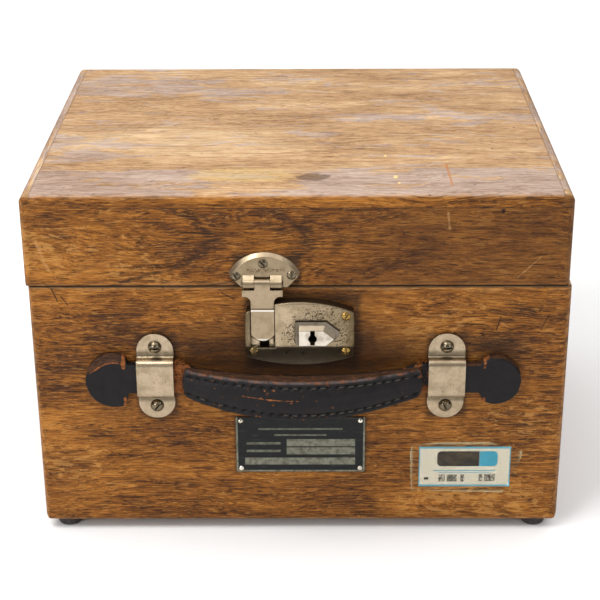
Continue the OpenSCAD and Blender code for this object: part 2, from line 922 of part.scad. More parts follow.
module hasp_tongue() {
    tip_centre = tip_z + tip_r;
    end_t = tongue_back_t + hasp_t;
    color(nickel) difference() {
        union() {
            at_hasp_axis() translate([0, 0, -hasp_mid_l / 2])
                cylinder(h = hasp_mid_l, r = hasp_barrel_r);
            on_front(hasp_x) {
                translate([-hasp_mid_l / 2, shoulder_z - cut, leaf_back_t])
                    cube([hasp_mid_l, hasp_axis_z - shoulder_z + cut, hasp_t]);
                translate([0, 0, leaf_back_t]) linear_extrude(hasp_t) shoulder_outline();
                translate([-tongue_half, step_z, leaf_back_t])
                    cube([2 * tongue_half, step_h, hasp_t + step_out]);
                translate([-tongue_half, tip_centre, tongue_back_t])
                    cube([2 * tongue_half, step_z + step_h - tip_centre, hasp_t]);
                intersection() {
                    translate([0, tip_centre, tongue_back_t]) union() {
                        cylinder(h = hasp_t - tip_chamfer, r = tip_r);
                        translate([0, 0, hasp_t - tip_chamfer])
                            cylinder(h = tip_chamfer, r1 = tip_r, r2 = tip_r - tip_chamfer);
                    }
                    translate([-tongue_half, tip_z - cut, 0])
                        cube([2 * tongue_half, tip_r + cut, end_t]);
                }
            }
        }
        at_hasp_axis() translate([0, 0, -hasp_mid_l])
            cylinder(h = 2 * hasp_mid_l, r = hasp_pin_r + run_fit);
    }
}

// A square eye on the back of the tongue for the lock's bolt
module hasp_staple() {
    color(nickel_dark) on_front() difference() {
        between([staple_x - staple_w / 2, staple_x + staple_w / 2],
            [staple_z, staple_z + staple_h], staple_deep_t, tongue_back_t);
        between([staple_x - staple_w, staple_x + staple_w],
            [staple_z + staple_wall, staple_z + staple_h - staple_wall],
            staple_deep_t + staple_end, tongue_back_t - 0.4);
    }
}

// ---------------------------------------------------------------- thumb slide

function arrow(x0, z0, z1, grow) = [
    [x0 - grow, z0 - 0.2 * grow], [x0 - grow, z1 + grow],
    [x0 + 12.4 + 0.4 * grow, z1 + grow], [x0 + 17.8 + grow, z1 - 4.5 + 0.6 * grow],
    [x0 + 17.4 + grow, z1 - 5.8], [x0 + 13 + 0.5 * grow, z0 - 0.2 * grow]
];

// Takes the corner off a straight edge through p whose outward side looks along angle a
module bevel_waste(p, a, t) {
    translate([p[0], p[1], t]) rotate([0, 0, a - 90]) translate([0, -button_bevel, 0])
        rotate([-45, 0, 0]) translate([-20, 0, 0]) cube([40, 10, 10]);
}

module keyhole() {
    translate([key_x, key_z]) circle(key_r);
    translate([key_x - key_slot_w / 2, key_slot_z[0]])
        square([key_slot_w, key_slot_z[1] - key_slot_z[0]]);
}

module thumb_slide() {
    t0 = lock_t + ride_gap;
    t1 = t0 + button_t;
    color(nickel) on_front() difference() {
        union() {
            translate([0, 0, t0]) linear_extrude(flange_t)
                polygon(arrow(button_x, button_low, button_high, flange_grow));
            difference() {
                translate([0, 0, t0]) linear_extrude(button_t)
                    polygon(arrow(button_x, button_low, button_high, 0));
                bevel_waste([button_x, button_high], 90, t1);
                bevel_waste([button_x + 12.4, button_high], 50.2, t1);
            }
            between(stem_x, stem_z, carriage_t[1], t0 + cut);
        }
        translate([0, 0, -cut]) linear_extrude(lock_t + 2 * button_t) keyhole();
    }
}

// The plate behind the lock's face, with the nose that holds the staple
module catch_bolt() {
    color(steel) on_front() difference() {
        union() {
            between(carriage_x, carriage_z, carriage_t[0], carriage_t[1]);
            between([nose_x, carriage_x[0] + cut], nose_z, carriage_t[0], carriage_t[1]);
        }
        translate([0, 0, -cut]) linear_extrude(lock_t) keyhole();
    }
}

// ---------------------------------------------------------------- handle

// Plan view of one layer of the grip between two arcs: distance off the box at the middle and
// at x = grip_half, for the side toward the user and for the side toward the box
module grip_layer(half, front_mid, front_end, back_mid, back_end) {
    front_r = sag_radius(grip_half, front_mid - front_end);
    back_r = sag_radius(grip_half, back_mid - back_end);
    intersection() {
        difference() {
            translate([0, front_mid - front_r]) circle(front_r, $fn = 360);
            translate([0, back_mid - back_r]) circle(back_r, $fn = 360);
        }
        translate([-half, 0]) square([2 * half, front_mid + cut]);
    }
}

// Front view of the grip: both edges sag toward the middle, the lower one more
module grip_outline(grow = 0) {
    low_r = sag_radius(grip_half, grip_low_end_z - grip_low_z);
    high_r = sag_radius(grip_half, grip_high_end_z - grip_high_z);
    difference() {
        translate([0, grip_low_z + low_r - grow]) circle(low_r, $fn = 360);
        translate([0, grip_high_z + high_r + grow]) circle(high_r, $fn = 360);
    }
}

module grip_piece(half, front_mid, front_end, back_mid, back_end, grow = 0) {
    on_front() intersection() {
        linear_extrude(grip_bow + cut) intersection() {
            grip_outline(grow);
            translate([-half, grip_low_z - cut]) square([2 * half, 30]);
        }
        translate([0, base_h, 0]) rotate([90, 0, 0]) linear_extrude(base_h)
            grip_layer(half, front_mid, front_end, back_mid, back_end);
    }
}

module grip_cover() {
    color(black_leather) grip_piece(grip_half, grip_bow, grip_end_t,
        grip_bow - cover_t, grip_end_t - cover_t - 0.2);
}

module grip_filler() {
    color(raw_leather) grip_piece(filler_half, grip_bow - cover_t - layer_gap,
        grip_end_t - cover_t - 0.2 - layer_gap, grip_back_t + backing_t + layer_gap,
        grip_back_end_t + backing_t + layer_gap, -filler_in);
}

module grip_backing() {
    color(raw_leather) grip_piece(backing_half, grip_back_t + backing_t,
        grip_back_end_t + backing_t, grip_back_t, grip_back_end_t);
}

// side = -1 is the left end: a strap through the loop with a round head outside it
module strap_end(side) {
    i = side > 0 ? 1 : 0;
    outer = loop_w / 2 + neck_l;
    inner = -loop_w / 2 - strap_in;
    color(black_leather) on_front(loop_x[i], loop_z) {
        translate([side > 0 ? inner : -outer - 1, -strap_half, strap_t[0]])
            cube([outer - inner + 1, 2 * strap_half, strap_t[1] - strap_t[0]]);
        translate([0, -head_drop, head_t[0]]) linear_extrude(head_t[1] - head_t[0])
            intersection() {
                translate([side * (outer + head_past), 0]) circle(head_r);
                translate([side > 0 ? outer : -outer - 2 * head_r, -head_r])
                    square([2 * head_r, 2 * head_r]);
            }
    }
}

module strap_end_left() {
    strap_end(-1);
}

module strap_end_right() {
    strap_end(1);
}

// ---------------------------------------------------------------- output

base_front();
base_back();
base_left();
base_right();
base_bottom();
ledge_strips();
feet();
foot_screws();
nameplate();
nameplate_pins();
calibration_label();
label_tape();
handle_loops();
loop_screws();
lock_case();
lock_back_plate();
lock_screws();
lock_spring();
hinge_base_leaves();
hinge_pins();
hinge_base_screws();
lid_front();
lid_back();
lid_left();
lid_right();
lid_top();
hinge_lid_leaves();
hinge_lid_screws();
hasp_plate();
hasp_plate_screws();
hasp_pin();
hasp_tongue();
hasp_staple();
thumb_slide();
catch_bolt();
grip_cover();
grip_filler();
grip_backing();
strap_end_left();
strap_end_right();
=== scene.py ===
import math
import random

import bpy
import numpy as np
from mathutils import Matrix, Vector, noise


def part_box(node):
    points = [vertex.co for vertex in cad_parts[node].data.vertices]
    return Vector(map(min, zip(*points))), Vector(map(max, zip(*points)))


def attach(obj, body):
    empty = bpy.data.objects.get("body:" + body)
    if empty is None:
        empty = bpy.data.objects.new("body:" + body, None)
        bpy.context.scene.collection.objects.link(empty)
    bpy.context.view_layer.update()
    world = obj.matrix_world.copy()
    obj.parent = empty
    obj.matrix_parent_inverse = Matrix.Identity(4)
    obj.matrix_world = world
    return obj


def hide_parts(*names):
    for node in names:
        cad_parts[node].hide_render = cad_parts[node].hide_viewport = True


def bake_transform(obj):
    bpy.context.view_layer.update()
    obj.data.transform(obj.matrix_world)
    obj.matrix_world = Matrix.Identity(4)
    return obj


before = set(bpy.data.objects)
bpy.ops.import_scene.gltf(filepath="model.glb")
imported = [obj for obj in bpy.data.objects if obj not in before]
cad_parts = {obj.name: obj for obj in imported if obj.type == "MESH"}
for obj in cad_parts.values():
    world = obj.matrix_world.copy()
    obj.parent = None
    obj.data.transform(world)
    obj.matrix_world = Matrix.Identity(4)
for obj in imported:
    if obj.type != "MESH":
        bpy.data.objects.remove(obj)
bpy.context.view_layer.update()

MM = 0.001


# ---------------------------------------------------------------- places, from the frame

def span(*nodes):
    """Lowest and highest corner of several CAD nodes together, in millimetres."""
    boxes = [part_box(n) for n in nodes]
    low = [min(b[0][i] for b in boxes) / MM for i in range(3)]
    high = [max(b[1][i] for b in boxes) / MM for i in range(3)]
    return low, high


BASE = span("base_front", "base_back", "base_left", "base_right")
LID = span("lid_front", "lid_back", "lid_left", "lid_right", "lid_top")
TOP_PANEL = span("lid_top")
GRIP = span("grip_cover")
LOOPS = span("handle_loops")
PLATE = span("nameplate")
LABEL = span("calibration_label")
TAPE = span("label_tape")
LOCK = span("lock_case")
THUMB = span("thumb_slide")
HASP_PLATE = span("hasp_plate")
TONGUE = span("hasp_tongue")

LOOP_WIDTH = 18.0
LOOP_MIDDLES = (LOOPS[0][0] + LOOP_WIDTH / 2, LOOPS[1][0] - LOOP_WIDTH / 2)
LOOP_Z = (LOOPS[0][2] + LOOPS[1][2]) / 2
FACE_Y = BASE[0][1]
MID_X = (BASE[0][0] + BASE[1][0]) / 2
PANEL_T = TOP_PANEL[1][2] - TOP_PANEL[0][2]


def srgb(red, green, blue):
    """A colour given as 0 to 255 on a screen, as the linear colour a shader takes."""
    return tuple(((c / 255 + 0.055) / 1.055) ** 2.4 if c > 10 else c / 255 / 12.92
                 for c in (red, green, blue)) + (1,)


# ---------------------------------------------------------------- shader sums

class Look:
    """A material whose nodes are written as sums. Lengths are millimetres."""

    def __init__(self, name, rest_attribute=False):
        self.mat = bpy.data.materials.new(name)
        self.mat.use_nodes = True
        self.tree = self.mat.node_tree
        self.shader = self.tree.nodes["Principled BSDF"]
        if rest_attribute:
            self.where = self.add("Attribute", attribute_name="rest_mm").outputs["Vector"]
        else:
            place = self.add("TexCoord")
            self.where = self.vector("SCALE", place.outputs["Object"], scale=1 / MM)
            self.normal = self.split(place.outputs["Normal"])
        self.x, self.y, self.z = self.split(self.where)

    def add(self, kind, **settings):
        node = self.tree.nodes.new("ShaderNode" + kind)
        for key, value in settings.items():
            setattr(node, key, value)
        return node

    def put(self, value, socket):
        if isinstance(value, bpy.types.NodeSocket):
            self.tree.links.new(value, socket)
        else:
            socket.default_value = value

    def split(self, vector):
        node = self.add("SeparateXYZ")
        self.put(vector, node.inputs[0])
        return node.outputs

    def fact(self, name):
        """One of the numbers that a piece carries for each of its points."""
        return self.add("Attribute", attribute_name=name).outputs["Fac"]

    def math(self, operation, *values):
        node = self.add("Math", operation=operation)
        for value, socket in zip(values, node.inputs):
            self.put(value, socket)
        return node.outputs[0]

    def chain(self, operation, first, others):
        for other in others:
            first = self.math(operation, first, other)
        return first

    def plus(self, first, *others):
        return self.chain("ADD", first, others)

    def minus(self, a, b):
        return self.math("SUBTRACT", a, b)

    def times(self, first, *others):
        return self.chain("MULTIPLY", first, others)

    def most(self, first, *others):
        return self.chain("MAXIMUM", first, others)

    def least(self, first, *others):
        return self.chain("MINIMUM", first, others)

    def off(self, share):
        """One minus a share."""
        return self.math("SUBTRACT", 1.0, share)

    def total(self, *terms):
        """The sum of the terms, where a term in brackets is a product."""
        return self.plus(*[self.times(*t) if isinstance(t, tuple) else t for t in terms])

    def vector(self, operation, a, b=None, scale=None):
        node = self.add("VectorMath", operation=operation)
        self.put(a, node.inputs[0])
        if b is not None:
            self.put(b, node.inputs[1])
        if scale is not None:
            self.put(scale, node.inputs["Scale"])
        numbers = ("LENGTH", "DISTANCE", "DOT_PRODUCT")
        return node.outputs["Value" if operation in numbers else "Vector"]

    def step(self, value, low, high):
        """0 below low, 1 above high, smooth between them. With low above high it falls."""
        node = self.add("MapRange", interpolation_type="SMOOTHSTEP")
        self.put(value, node.inputs["Value"])
        ends = (low, high, 0.0, 1.0) if low <= high else (high, low, 1.0, 0.0)
        for name, end in zip(("From Min", "From Max", "To Min", "To Max"), ends):
            node.inputs[name].default_value = end
        return node.outputs["Result"]

    def line(self, value, at, wide, narrow):
        """1 where value is within narrow of at, falling to 0 at wide from it."""
        return self.step(self.math("ABSOLUTE", self.minus(value, at)), wide, narrow)

    def noise(self, size, seed=0.0, detail=2.0, rough=0.5, warp=0.0):
        """Cloudy noise from 0 to 1 whose blobs are about size long: a number or (x, y, z)."""
        size = size if isinstance(size, tuple) else (size,) * 3
        scaled = self.vector("MULTIPLY", self.where, tuple(1 / s for s in size))
        moved = self.vector("ADD", scaled, (seed, seed * 1.7 + 3, -seed * 0.6))
        node = self.add("TexNoise")
        self.put(moved, node.inputs["Vector"])
        for name, value in (("Scale", 1.0), ("Detail", detail), ("Roughness", rough),
                            ("Distortion", warp)):
            node.inputs[name].default_value = value
        return node.outputs["Fac"]

    def stray(self, amount, *noise_settings):
        """Noise round zero, up to half of amount either way."""
        return self.times(self.minus(self.noise(*noise_settings), 0.5), amount)

    def mix(self, share, a, b):
        node = self.add("Mix", data_type="RGBA", clamp_factor=True)
        self.put(share, node.inputs["Factor"])
        self.put(a, node.inputs["A"])
        self.put(b, node.inputs["B"])
        return node.outputs[2]

    def over(self, colour, share, amount, paint):
        """The colour with paint over it, as thick as amount where share is 1."""
        return self.mix(self.times(share, amount), colour, paint)

    def fade(self, value, low, high, a, b):
        """Colour a where the value is low, turning to b where it is high."""
        return self.mix(self.step(value, low, high), a, b)

    def near(self, point, reach, stretch):
        """1 at the point, falling to 0 at reach, with distances stretched along each axis."""
        away = self.vector("SUBTRACT", self.where, point)
        away = self.vector("MULTIPLY", away, stretch)
        return self.step(self.vector("LENGTH", away), reach, reach * 0.2)

    def on_front(self, x, z, reach, stretch_x, stretch_z):
        return self.near((x, FACE_Y, z), reach, (stretch_x, 0, stretch_z))

    def on_top(self, x, y, reach, stretch_x, stretch_y):
        return self.near((x, y, 0), reach, (stretch_x, stretch_y, 0))

    def in_box(self, x0, z0, x1, z1, soft=0.12):
        """1 inside an upright rectangle on the front, 0 outside it."""
        return self.least(self.step(self.x, x0 - soft, x0 + soft),
                          self.step(self.x, x1 + soft, x1 - soft),
                          self.step(self.z, z0 - soft, z0 + soft),
                          self.step(self.z, z1 + soft, z1 - soft))

    def stroke(self, a, b, width, wander):
        """1 along the straight line from a to b, fading out at width from it."""
        along = Vector(b) - Vector(a)
        gap = self.vector("SUBTRACT", self.where, a)
        share = self.vector("DOT_PRODUCT", gap, tuple(along / along.length_squared))
        share = self.least(self.most(share, 0.0), 1.0)
        foot = self.vector("SCALE", tuple(along), scale=share)
        away = self.plus(self.vector("DISTANCE", gap, foot), self.stray(wander, 2))
        return self.step(away, width, width * 0.3)

    def finish(self, colour, rough, height=None, height_mm=0.1, metallic=0.0, round_mm=0.0,
               **fixed):
        """Joins the sums to the shader. height is 0 to 1 and stands for height_mm. round_mm
        is how far the light sees the edges rounded."""
        self.put(colour, self.shader.inputs["Base Color"])
        self.put(rough, self.shader.inputs["Roughness"])
        self.shader.inputs["Metallic"].default_value = metallic
        for name, value in fixed.items():
            self.shader.inputs[name.replace("_", " ")].default_value = value
        if height is not None:
            bump = self.add("Bump")
            if round_mm:
                edge = self.add("Bevel", samples=6)
                edge.inputs["Radius"].default_value = round_mm * MM
                self.put(edge.outputs["Normal"], bump.inputs["Normal"])
            bump.inputs["Strength"].default_value = 1.0
            bump.inputs["Distance"].default_value = height_mm * MM
            self.put(height, bump.inputs["Height"])
            self.put(bump.outputs["Normal"], self.shader.inputs["Normal"])
        return self.mat


def dress(node, material):
    """Gives a CAD node its finished material."""
    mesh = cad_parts[node].data
    mesh.materials.clear()
    mesh.materials.append(material)


# ---------------------------------------------------------------- wood

OAK_LIGHT = srgb(172, 112, 42)
OAK_MID = srgb(124, 73, 16)
OAK_DARK = srgb(62, 32, 6)
OAK_PORE = srgb(26, 12, 4)
OAK_PALE = srgb(182, 130, 66)
BARE_LIGHT = srgb(212, 180, 140)
BARE_MID = srgb(178, 140, 100)
BARE_DARK = srgb(116, 82, 52)
BARE_FURROW = srgb(112, 78, 46)
BARE_PORE = srgb(112, 78, 48)
LILAC = srgb(184, 164, 152)
LILAC_DARK = srgb(146, 120, 104)
INNER_DARK = srgb(150, 104, 62)
INNER_LIGHT = srgb(206, 162, 110)
RUBBED = srgb(190, 140, 84)
GRIME_AND_GAP_SHADE = srgb(34, 20, 9)
HAND_GRIME_AND_SHADE = srgb(56, 31, 7)
FITTING_DIRT_AND_SHADE = srgb(36, 20, 7)
HEAD_SHADOW = srgb(34, 18, 6)
DENSE_GRAIN = srgb(46, 25, 8)
LID_RIGHT_SHADE = srgb(58, 30, 7)
PALE_SCUFF = srgb(186, 142, 92)
TOP_HIGHLIGHT = srgb(216, 190, 152)
YELLOWED = srgb(208, 176, 116)
STAIN = srgb(104, 82, 64)
SPOT = srgb(104, 84, 74)
SCRATCH = srgb(176, 112, 56)
CHIP = srgb(240, 204, 128)
JOINT = srgb(92, 68, 48)

RING_WIDTH = 3.6
WALL_SKIN = (4.0, 6.0)      # how deep below the outside a board's inner side begins


class Oak(Look):
    """Old oak. grain is the axis that the fibres follow, rings the direction across the
    growth rings, box the outer corners of the base or the lid."""

    def __init__(self, node, grain, rings, box, seed):
        super().__init__("oak_" + node)
        self.node, self.grain, self.rings, self.seed = node, grain, rings, seed
        self.low, self.high = box

    def grained(self, length, width, seed, detail, rough=0.5, warp=0.0):
        """Noise drawn out along the grain."""
        size = tuple(length if i == self.grain else width for i in range(3))
        return self.noise(size, self.seed + seed, detail, rough, warp)

    def find_places(self):
        """Distances from the faces of the whole box give its edges, inside and upper side."""
        side, front, top = [self.least(self.minus(at, self.low[i]), self.minus(self.high[i], at))
                            for i, at in enumerate((self.x, self.y, self.z))]
        self.from_front = front
        self.from_edge = self.most(self.least(side, front), self.least(self.most(side, front), top))
        self.inside = self.step(self.least(side, front, top), *WALL_SKIN)
        up = self.plus(self.normal["Z"], self.stray(0.3, (5, 3, 3), 5, 3))
        self.up = self.times(self.step(up, 0.55, 0.90), self.off(self.inside))

    def sway(self):
        """Bends the grain a little, so that everything drawn along it wanders."""
        wander = self.times(self.minus(self.grained(85, 26, 20, 2), 0.5), 16.0)
        across = self.add("CombineXYZ")
        for i in range(3):
            if i != self.grain:
                self.put(wander, across.inputs[i])
        self.where = self.vector("ADD", self.where, across.outputs[0])

    def grow(self):
        """Growth rings, streaks, fibres and open pores, each finer than the last."""
        self.blotch = self.grained(64, 22, 6, 4, 0.62)
        self.streak = self.grained(44, 2.4, 1, 5, 0.62)
        self.mottle = self.grained(12, 3.0, 4, 5, 0.70, 0.6)
        self.fibre = self.grained(13, 0.5, 2, 4, 0.72)
        ring_at = self.total(self.vector("DOT_PRODUCT", self.where, self.rings),
                             (self.grained(170, 34, 0, 2), 26), (self.streak, 3.0))
        ring = self.math("FRACT", self.times(ring_at, 1 / RING_WIDTH))
        late = self.times(self.step(ring, 0.35, 0.95), self.step(ring, 1.0, 0.95))
        self.tone = self.total(
            0.5, (self.minus(self.streak, 0.5), 0.8), (self.minus(self.fibre, 0.5), 2.3),
            (self.minus(self.mottle, 0.5), 1.1), (self.minus(self.blotch, 0.5), 1.6), (late, -0.12))
        dash = self.step(self.grained(4.6, 0.5, 3, 2, 0.55), 0.60, 0.66)
        long_dash = self.step(self.grained(26, 0.9, 5, 3, 0.6), 0.62, 0.68)
        thick = self.total(0.45, (self.step(self.blotch, 0.6, 0.4), 0.5))
        self.pore = self.most(self.times(dash, thick), long_dash)

    def old_film(self):
        """How much of the clouded finish is left on top: on the lid's panel in a band along
        the front, at the rear left and in a streak at the right."""
        film = self.grained(40, 9, 8, 8, 0.72, 0.6)
        left, front = self.low[:2]
        right, back = self.high[:2]
        if self.node in ("lid_left", "lid_right"):
            film = self.plus(film, 0.13)
        elif self.node == "lid_top":
            band = self.step(self.minus(self.y, front), 42, 30)
            patches = self.most(self.on_top(left + 40, back - 35, 62, 0.7, 1.6),
                                self.on_top(right - 45, back - 100, 60, 0.8, 3.4),
                                self.on_top(left + 14, front + 70, 34, 0.9, 0.9))
            bare = self.times(band, self.step(self.x, left + 60, left + 92),
                              self.step(self.x, left + 142, left + 126))
            film = self.total(film, (band, 0.17), (bare, -0.15), (patches, 0.09))
        return self.step(film, 0.560, 0.578)

    def coat(self):
        """Brown under the old finish, pale where it has worn off the top, raw inside."""
        tone, up = self.tone, self.up
        brown = self.fade(tone, 0.42, 1.05, self.fade(tone, -0.05, 0.55, OAK_DARK, OAK_MID), OAK_LIGHT)
        pale_dash = self.step(self.grained(6, 0.7, 7, 2, 0.5), 0.59, 0.65)
        brown = self.over(brown, pale_dash, 0.35, OAK_PALE)
        bare = self.fade(tone, 0.45, 1.1, self.fade(tone, -0.3, 0.5, BARE_DARK, BARE_MID), BARE_LIGHT)
        self.film = self.old_film()
        lilac = self.fade(tone, -0.1, 1.1, LILAC_DARK, LILAC)
        colour = self.mix(self.inside, brown, self.fade(tone, -0.2, 1.2, INNER_DARK, INNER_LIGHT))
        colour = self.mix(up, colour, self.over(bare, self.film, 0.85, lilac))
        furrow = self.step(self.grained(46, 1.4, 15, 4, 0.6), 0.575, 0.63)
        colour = self.over(colour, self.times(furrow, up), 0.5, BARE_FURROW)
        depth = self.total(0.8, (up, -0.30), (up, self.film, -0.3))
        return self.mix(self.times(self.pore, depth), colour, self.mix(up, OAK_PORE, BARE_PORE))

    def wear(self, colour):
        """Rubbed edges, flaked patches and small dark spots."""
        outside = self.off(self.inside)
        ragged = self.times(self.minus(self.grained(14, 3, 8, 3, 0.6), 0.5), 7.0)
        rubbed = self.step(self.plus(self.from_edge, ragged), 2.2, 0.3)
        colour = self.over(colour, self.times(rubbed, outside), 0.34, RUBBED)
        patch = self.total(self.noise((9, 9, 2.8), self.seed + 9, 6, 0.72, 1.0),
                           (self.minus(self.blotch, 0.5), 0.3))
        for x, z, reach in BALD.get(self.node, ()):
            patch = self.total(patch, (self.on_front(x, z, reach, 0.7, 1.3), 0.11))
        patch = self.times(self.step(patch, 0.62, 0.66), self.off(self.up), outside)
        colour = self.mix(self.times(patch, self.total(0.25, (self.fibre, 0.55))), colour, OAK_PALE)
        self.spots = self.step(self.noise((2.2, 2.2, 1.5), self.seed + 10, 2, 0.6), 0.70, 0.75)
        return self.over(colour, self.spots, 0.75, OAK_PORE)

    def mark(self, colour):
        """This board's own marks, on its outer side only. Also says where they cut in."""
        if self.node not in MARKS:
            return colour, None
        marked, gouge = MARKS[self.node](self, colour)
        on_panel = self.node == "lid_top"
        outside = self.off(self.inside) if on_panel else self.step(self.from_front, 3, 1)
        return self.mix(outside, colour, marked), self.times(gouge, outside)


def oak(*settings):
    k = Oak(*settings)
    k.find_places()
    straight = k.where
    k.sway()
    k.grow()
    colour = k.wear(k.coat())
    k.where = straight
    colour, gouge = k.mark(colour)
    rough = k.total(0.44, (k.noise(6, k.seed + 11), 0.22), (k.pore, 0.2), (k.up, k.off(k.film), 0.12))
    dents = k.noise(18, k.seed + 12, 2)
    height = k.total((k.fibre, 0.30), (k.pore, -0.5), (dents, 0.7), (k.streak, 0.3),
                     (k.mottle, 0.35), (k.spots, -0.3))
    if gouge is not None:
        height = k.total(height, (gouge, -0.6))
    return k.finish(colour, rough, height, 0.42, Specular_IOR_Level=0.22)


def fitting_dirt_and_shade(k, colour, boxes):
    """Dirt and painted shade round fittings, each given as (low x, low z, high x, high z)."""
    dirt = k.most(*[k.in_box(*box, 3.2) for box in boxes])
    dirt = k.step(k.total(dirt, (k.stray(1.2, (5, 5, 3), 44, 4, 0.6), dirt)), 0.05, 0.9)
    streaks = k.step(k.noise((12, 12, 0.9), 47, 4, 0.65), 0.35, 0.62)
    return k.mix(k.times(dirt, k.total(0.42, (streaks, 0.42))), colour, FITTING_DIRT_AND_SHADE)


def seam(k, colour, z):
    """Painted shade, with some dirt, in the gap where the lid meets the base."""
    away = k.plus(k.math("ABSOLUTE", k.minus(k.z, z)), k.stray(1.1, 9, 46, 4, 0.6))
    return k.over(colour, k.step(away, 1.1, 0.3), 0.8, GRIME_AND_GAP_SHADE)


def scratches(k, rows):
    """Lines on the front, each given as (x, z, x, z, width, wander)."""
    return k.most(*[k.stroke((x0, FACE_Y, z0), (x1, FACE_Y, z1), width, wander)
                    for x0, z0, x1, z1, width, wander in rows])


def base_front_marks(k, colour):
    """Hand grime and painted shade round the handle and the lock, dirt and painted shade round the
    fittings, a painted shadow of the right strap head, and gouges.
    """
    left, right, rim = BASE[0][0], BASE[1][0], BASE[1][2]
    uneven = k.total(0.62, (k.noise((16, 16, 6), 40, 4, 0.6), 0.7))
    # hand grime mixed with painted shade of the handle, round the handle and the lock
    handle = k.on_front(MID_X + 2, rim - 39, 74, 0.72, 2.2)
    lock = k.on_front(MID_X + 4, rim - 23, 44, 0.8, 1.1)
    grime_and_shade = k.times(k.most(handle, k.times(lock, 0.6)), uneven)
    colour = k.mix(k.least(grime_and_shade, 0.86), colour, HAND_GRIME_AND_SHADE)
    fittings = [(x - 9.5, LOOPS[0][2] - 1, x + 10.5, LOOPS[1][2]) for x in LOOP_MIDDLES]
    fittings.append((LOCK[0][0] - 0.5, LOCK[0][2] - 3, LOCK[1][0] + 2.5, LOCK[1][2] + 2))
    fittings.append((PLATE[0][0] - 0.6, PLATE[0][2] - 0.8, PLATE[1][0] + 0.8, PLATE[1][2] + 0.2))
    colour = fitting_dirt_and_shade(k, colour, fittings)
    # painted shadow of the right strap head, which stands off the wood, on the wood round its top
    head_shadow = k.on_front(LOOP_MIDDLES[1] + 25, LOOPS[1][2] - 8, 15, 0.75, 1.3)
    colour = k.over(colour, k.times(head_shadow, uneven), 0.75, HEAD_SHADOW)
    colour = seam(k, colour, rim)
    gouge = scratches(k, (
        (left + 11.7, rim - 1.2, left + 14.1, rim - 7.3, 0.5, 0.4),
        (left + 16, rim - 5, left + 19, rim - 9.4, 0.4, 0.4),
        (left + 93.4, rim - 3.2, left + 99.2, rim - 6.4, 0.5, 0.5),
        (right - 33.6, rim - 16, right - 35.5, rim - 23, 0.35, 0.3),
        (right - 10.6, rim - 15, right - 14, rim - 23, 0.3, 0.3)))
    return k.over(colour, gouge, 0.8, OAK_PORE), gouge


# where each arch of dense grain crosses the middle, its half width and how dark it is
ARCHES = ((-43, 6.0, 0.9), (-60, 3.0, 0.3), (4, 6.5, 0.75), (20, 4.0, 0.4), (-86, 4.0, 0.3),
          (62, 6.0, 0.35))


def lid_front_marks(k, colour):
    """Arched grain lying on its side, a filled nail hole, pale scratches, and the glue line
    under the top panel."""
    left, right, crest = LID[0][0], LID[1][0], LID[1][2]
    joint = crest - PANEL_T
    rise = k.minus(k.z, crest - 22.5)
    arch = k.total(k.x, (rise, rise, 0.085), k.stray(20, (34, 34, 14), 52, 5, 0.6))
    fine = k.noise((6, 6, 0.8), 53, 4, 0.7)
    dense = k.step(fine, 0.40, 0.54)
    for at, width, depth in ARCHES:
        band = k.line(arch, at + MID_X, width, width * 0.2)
        colour = k.over(colour, k.times(band, dense), depth, DENSE_GRAIN)
    # painted shade, growing darker towards the lid front's right end
    right_shade = k.total(k.x, (k.noise((30, 30, 10), 54, 3), 30))
    colour = k.over(colour, k.step(right_shade, MID_X + 10, MID_X + 70), 0.5, LID_RIGHT_SHADE)
    (x0, _, z0), (x1, _, z1) = HASP_PLATE
    colour = fitting_dirt_and_shade(k, colour, [(x0 + 2, z0 - 1, x1 + 0.5, z1 - 1)])
    colour = seam(k, colour, LID[0][2])
    pale = scratches(k, (
        (left + 7, crest - 23.8, left + 12, crest - 37.8, 1.1, 2.6),
        (right - 59.5, crest - 9, right - 58.6, crest - 17, 0.9, 1.6),
        (right - 25.3, crest - 42, right - 14.7, crest - 31.4, 0.5, 0.9)))
    colour = k.over(colour, k.times(pale, k.step(fine, 0.36, 0.56)), 0.42, PALE_SCUFF)
    nail = k.on_front(right - 33.7, joint - 1.7, 1.5, 1, 0.8)
    colour = k.mix(nail, colour, OAK_PORE)
    glue = k.line(k.z, k.plus(joint, k.stray(0.5, 30, 50, 3)), 0.42, 0.12)
    glue = k.times(glue, k.step(k.total(k.x, (k.noise(8, 51), 40)), left + 44, left + 70))
    return k.over(colour, glue, 0.5, GRIME_AND_GAP_SHADE), k.most(glue, nail)


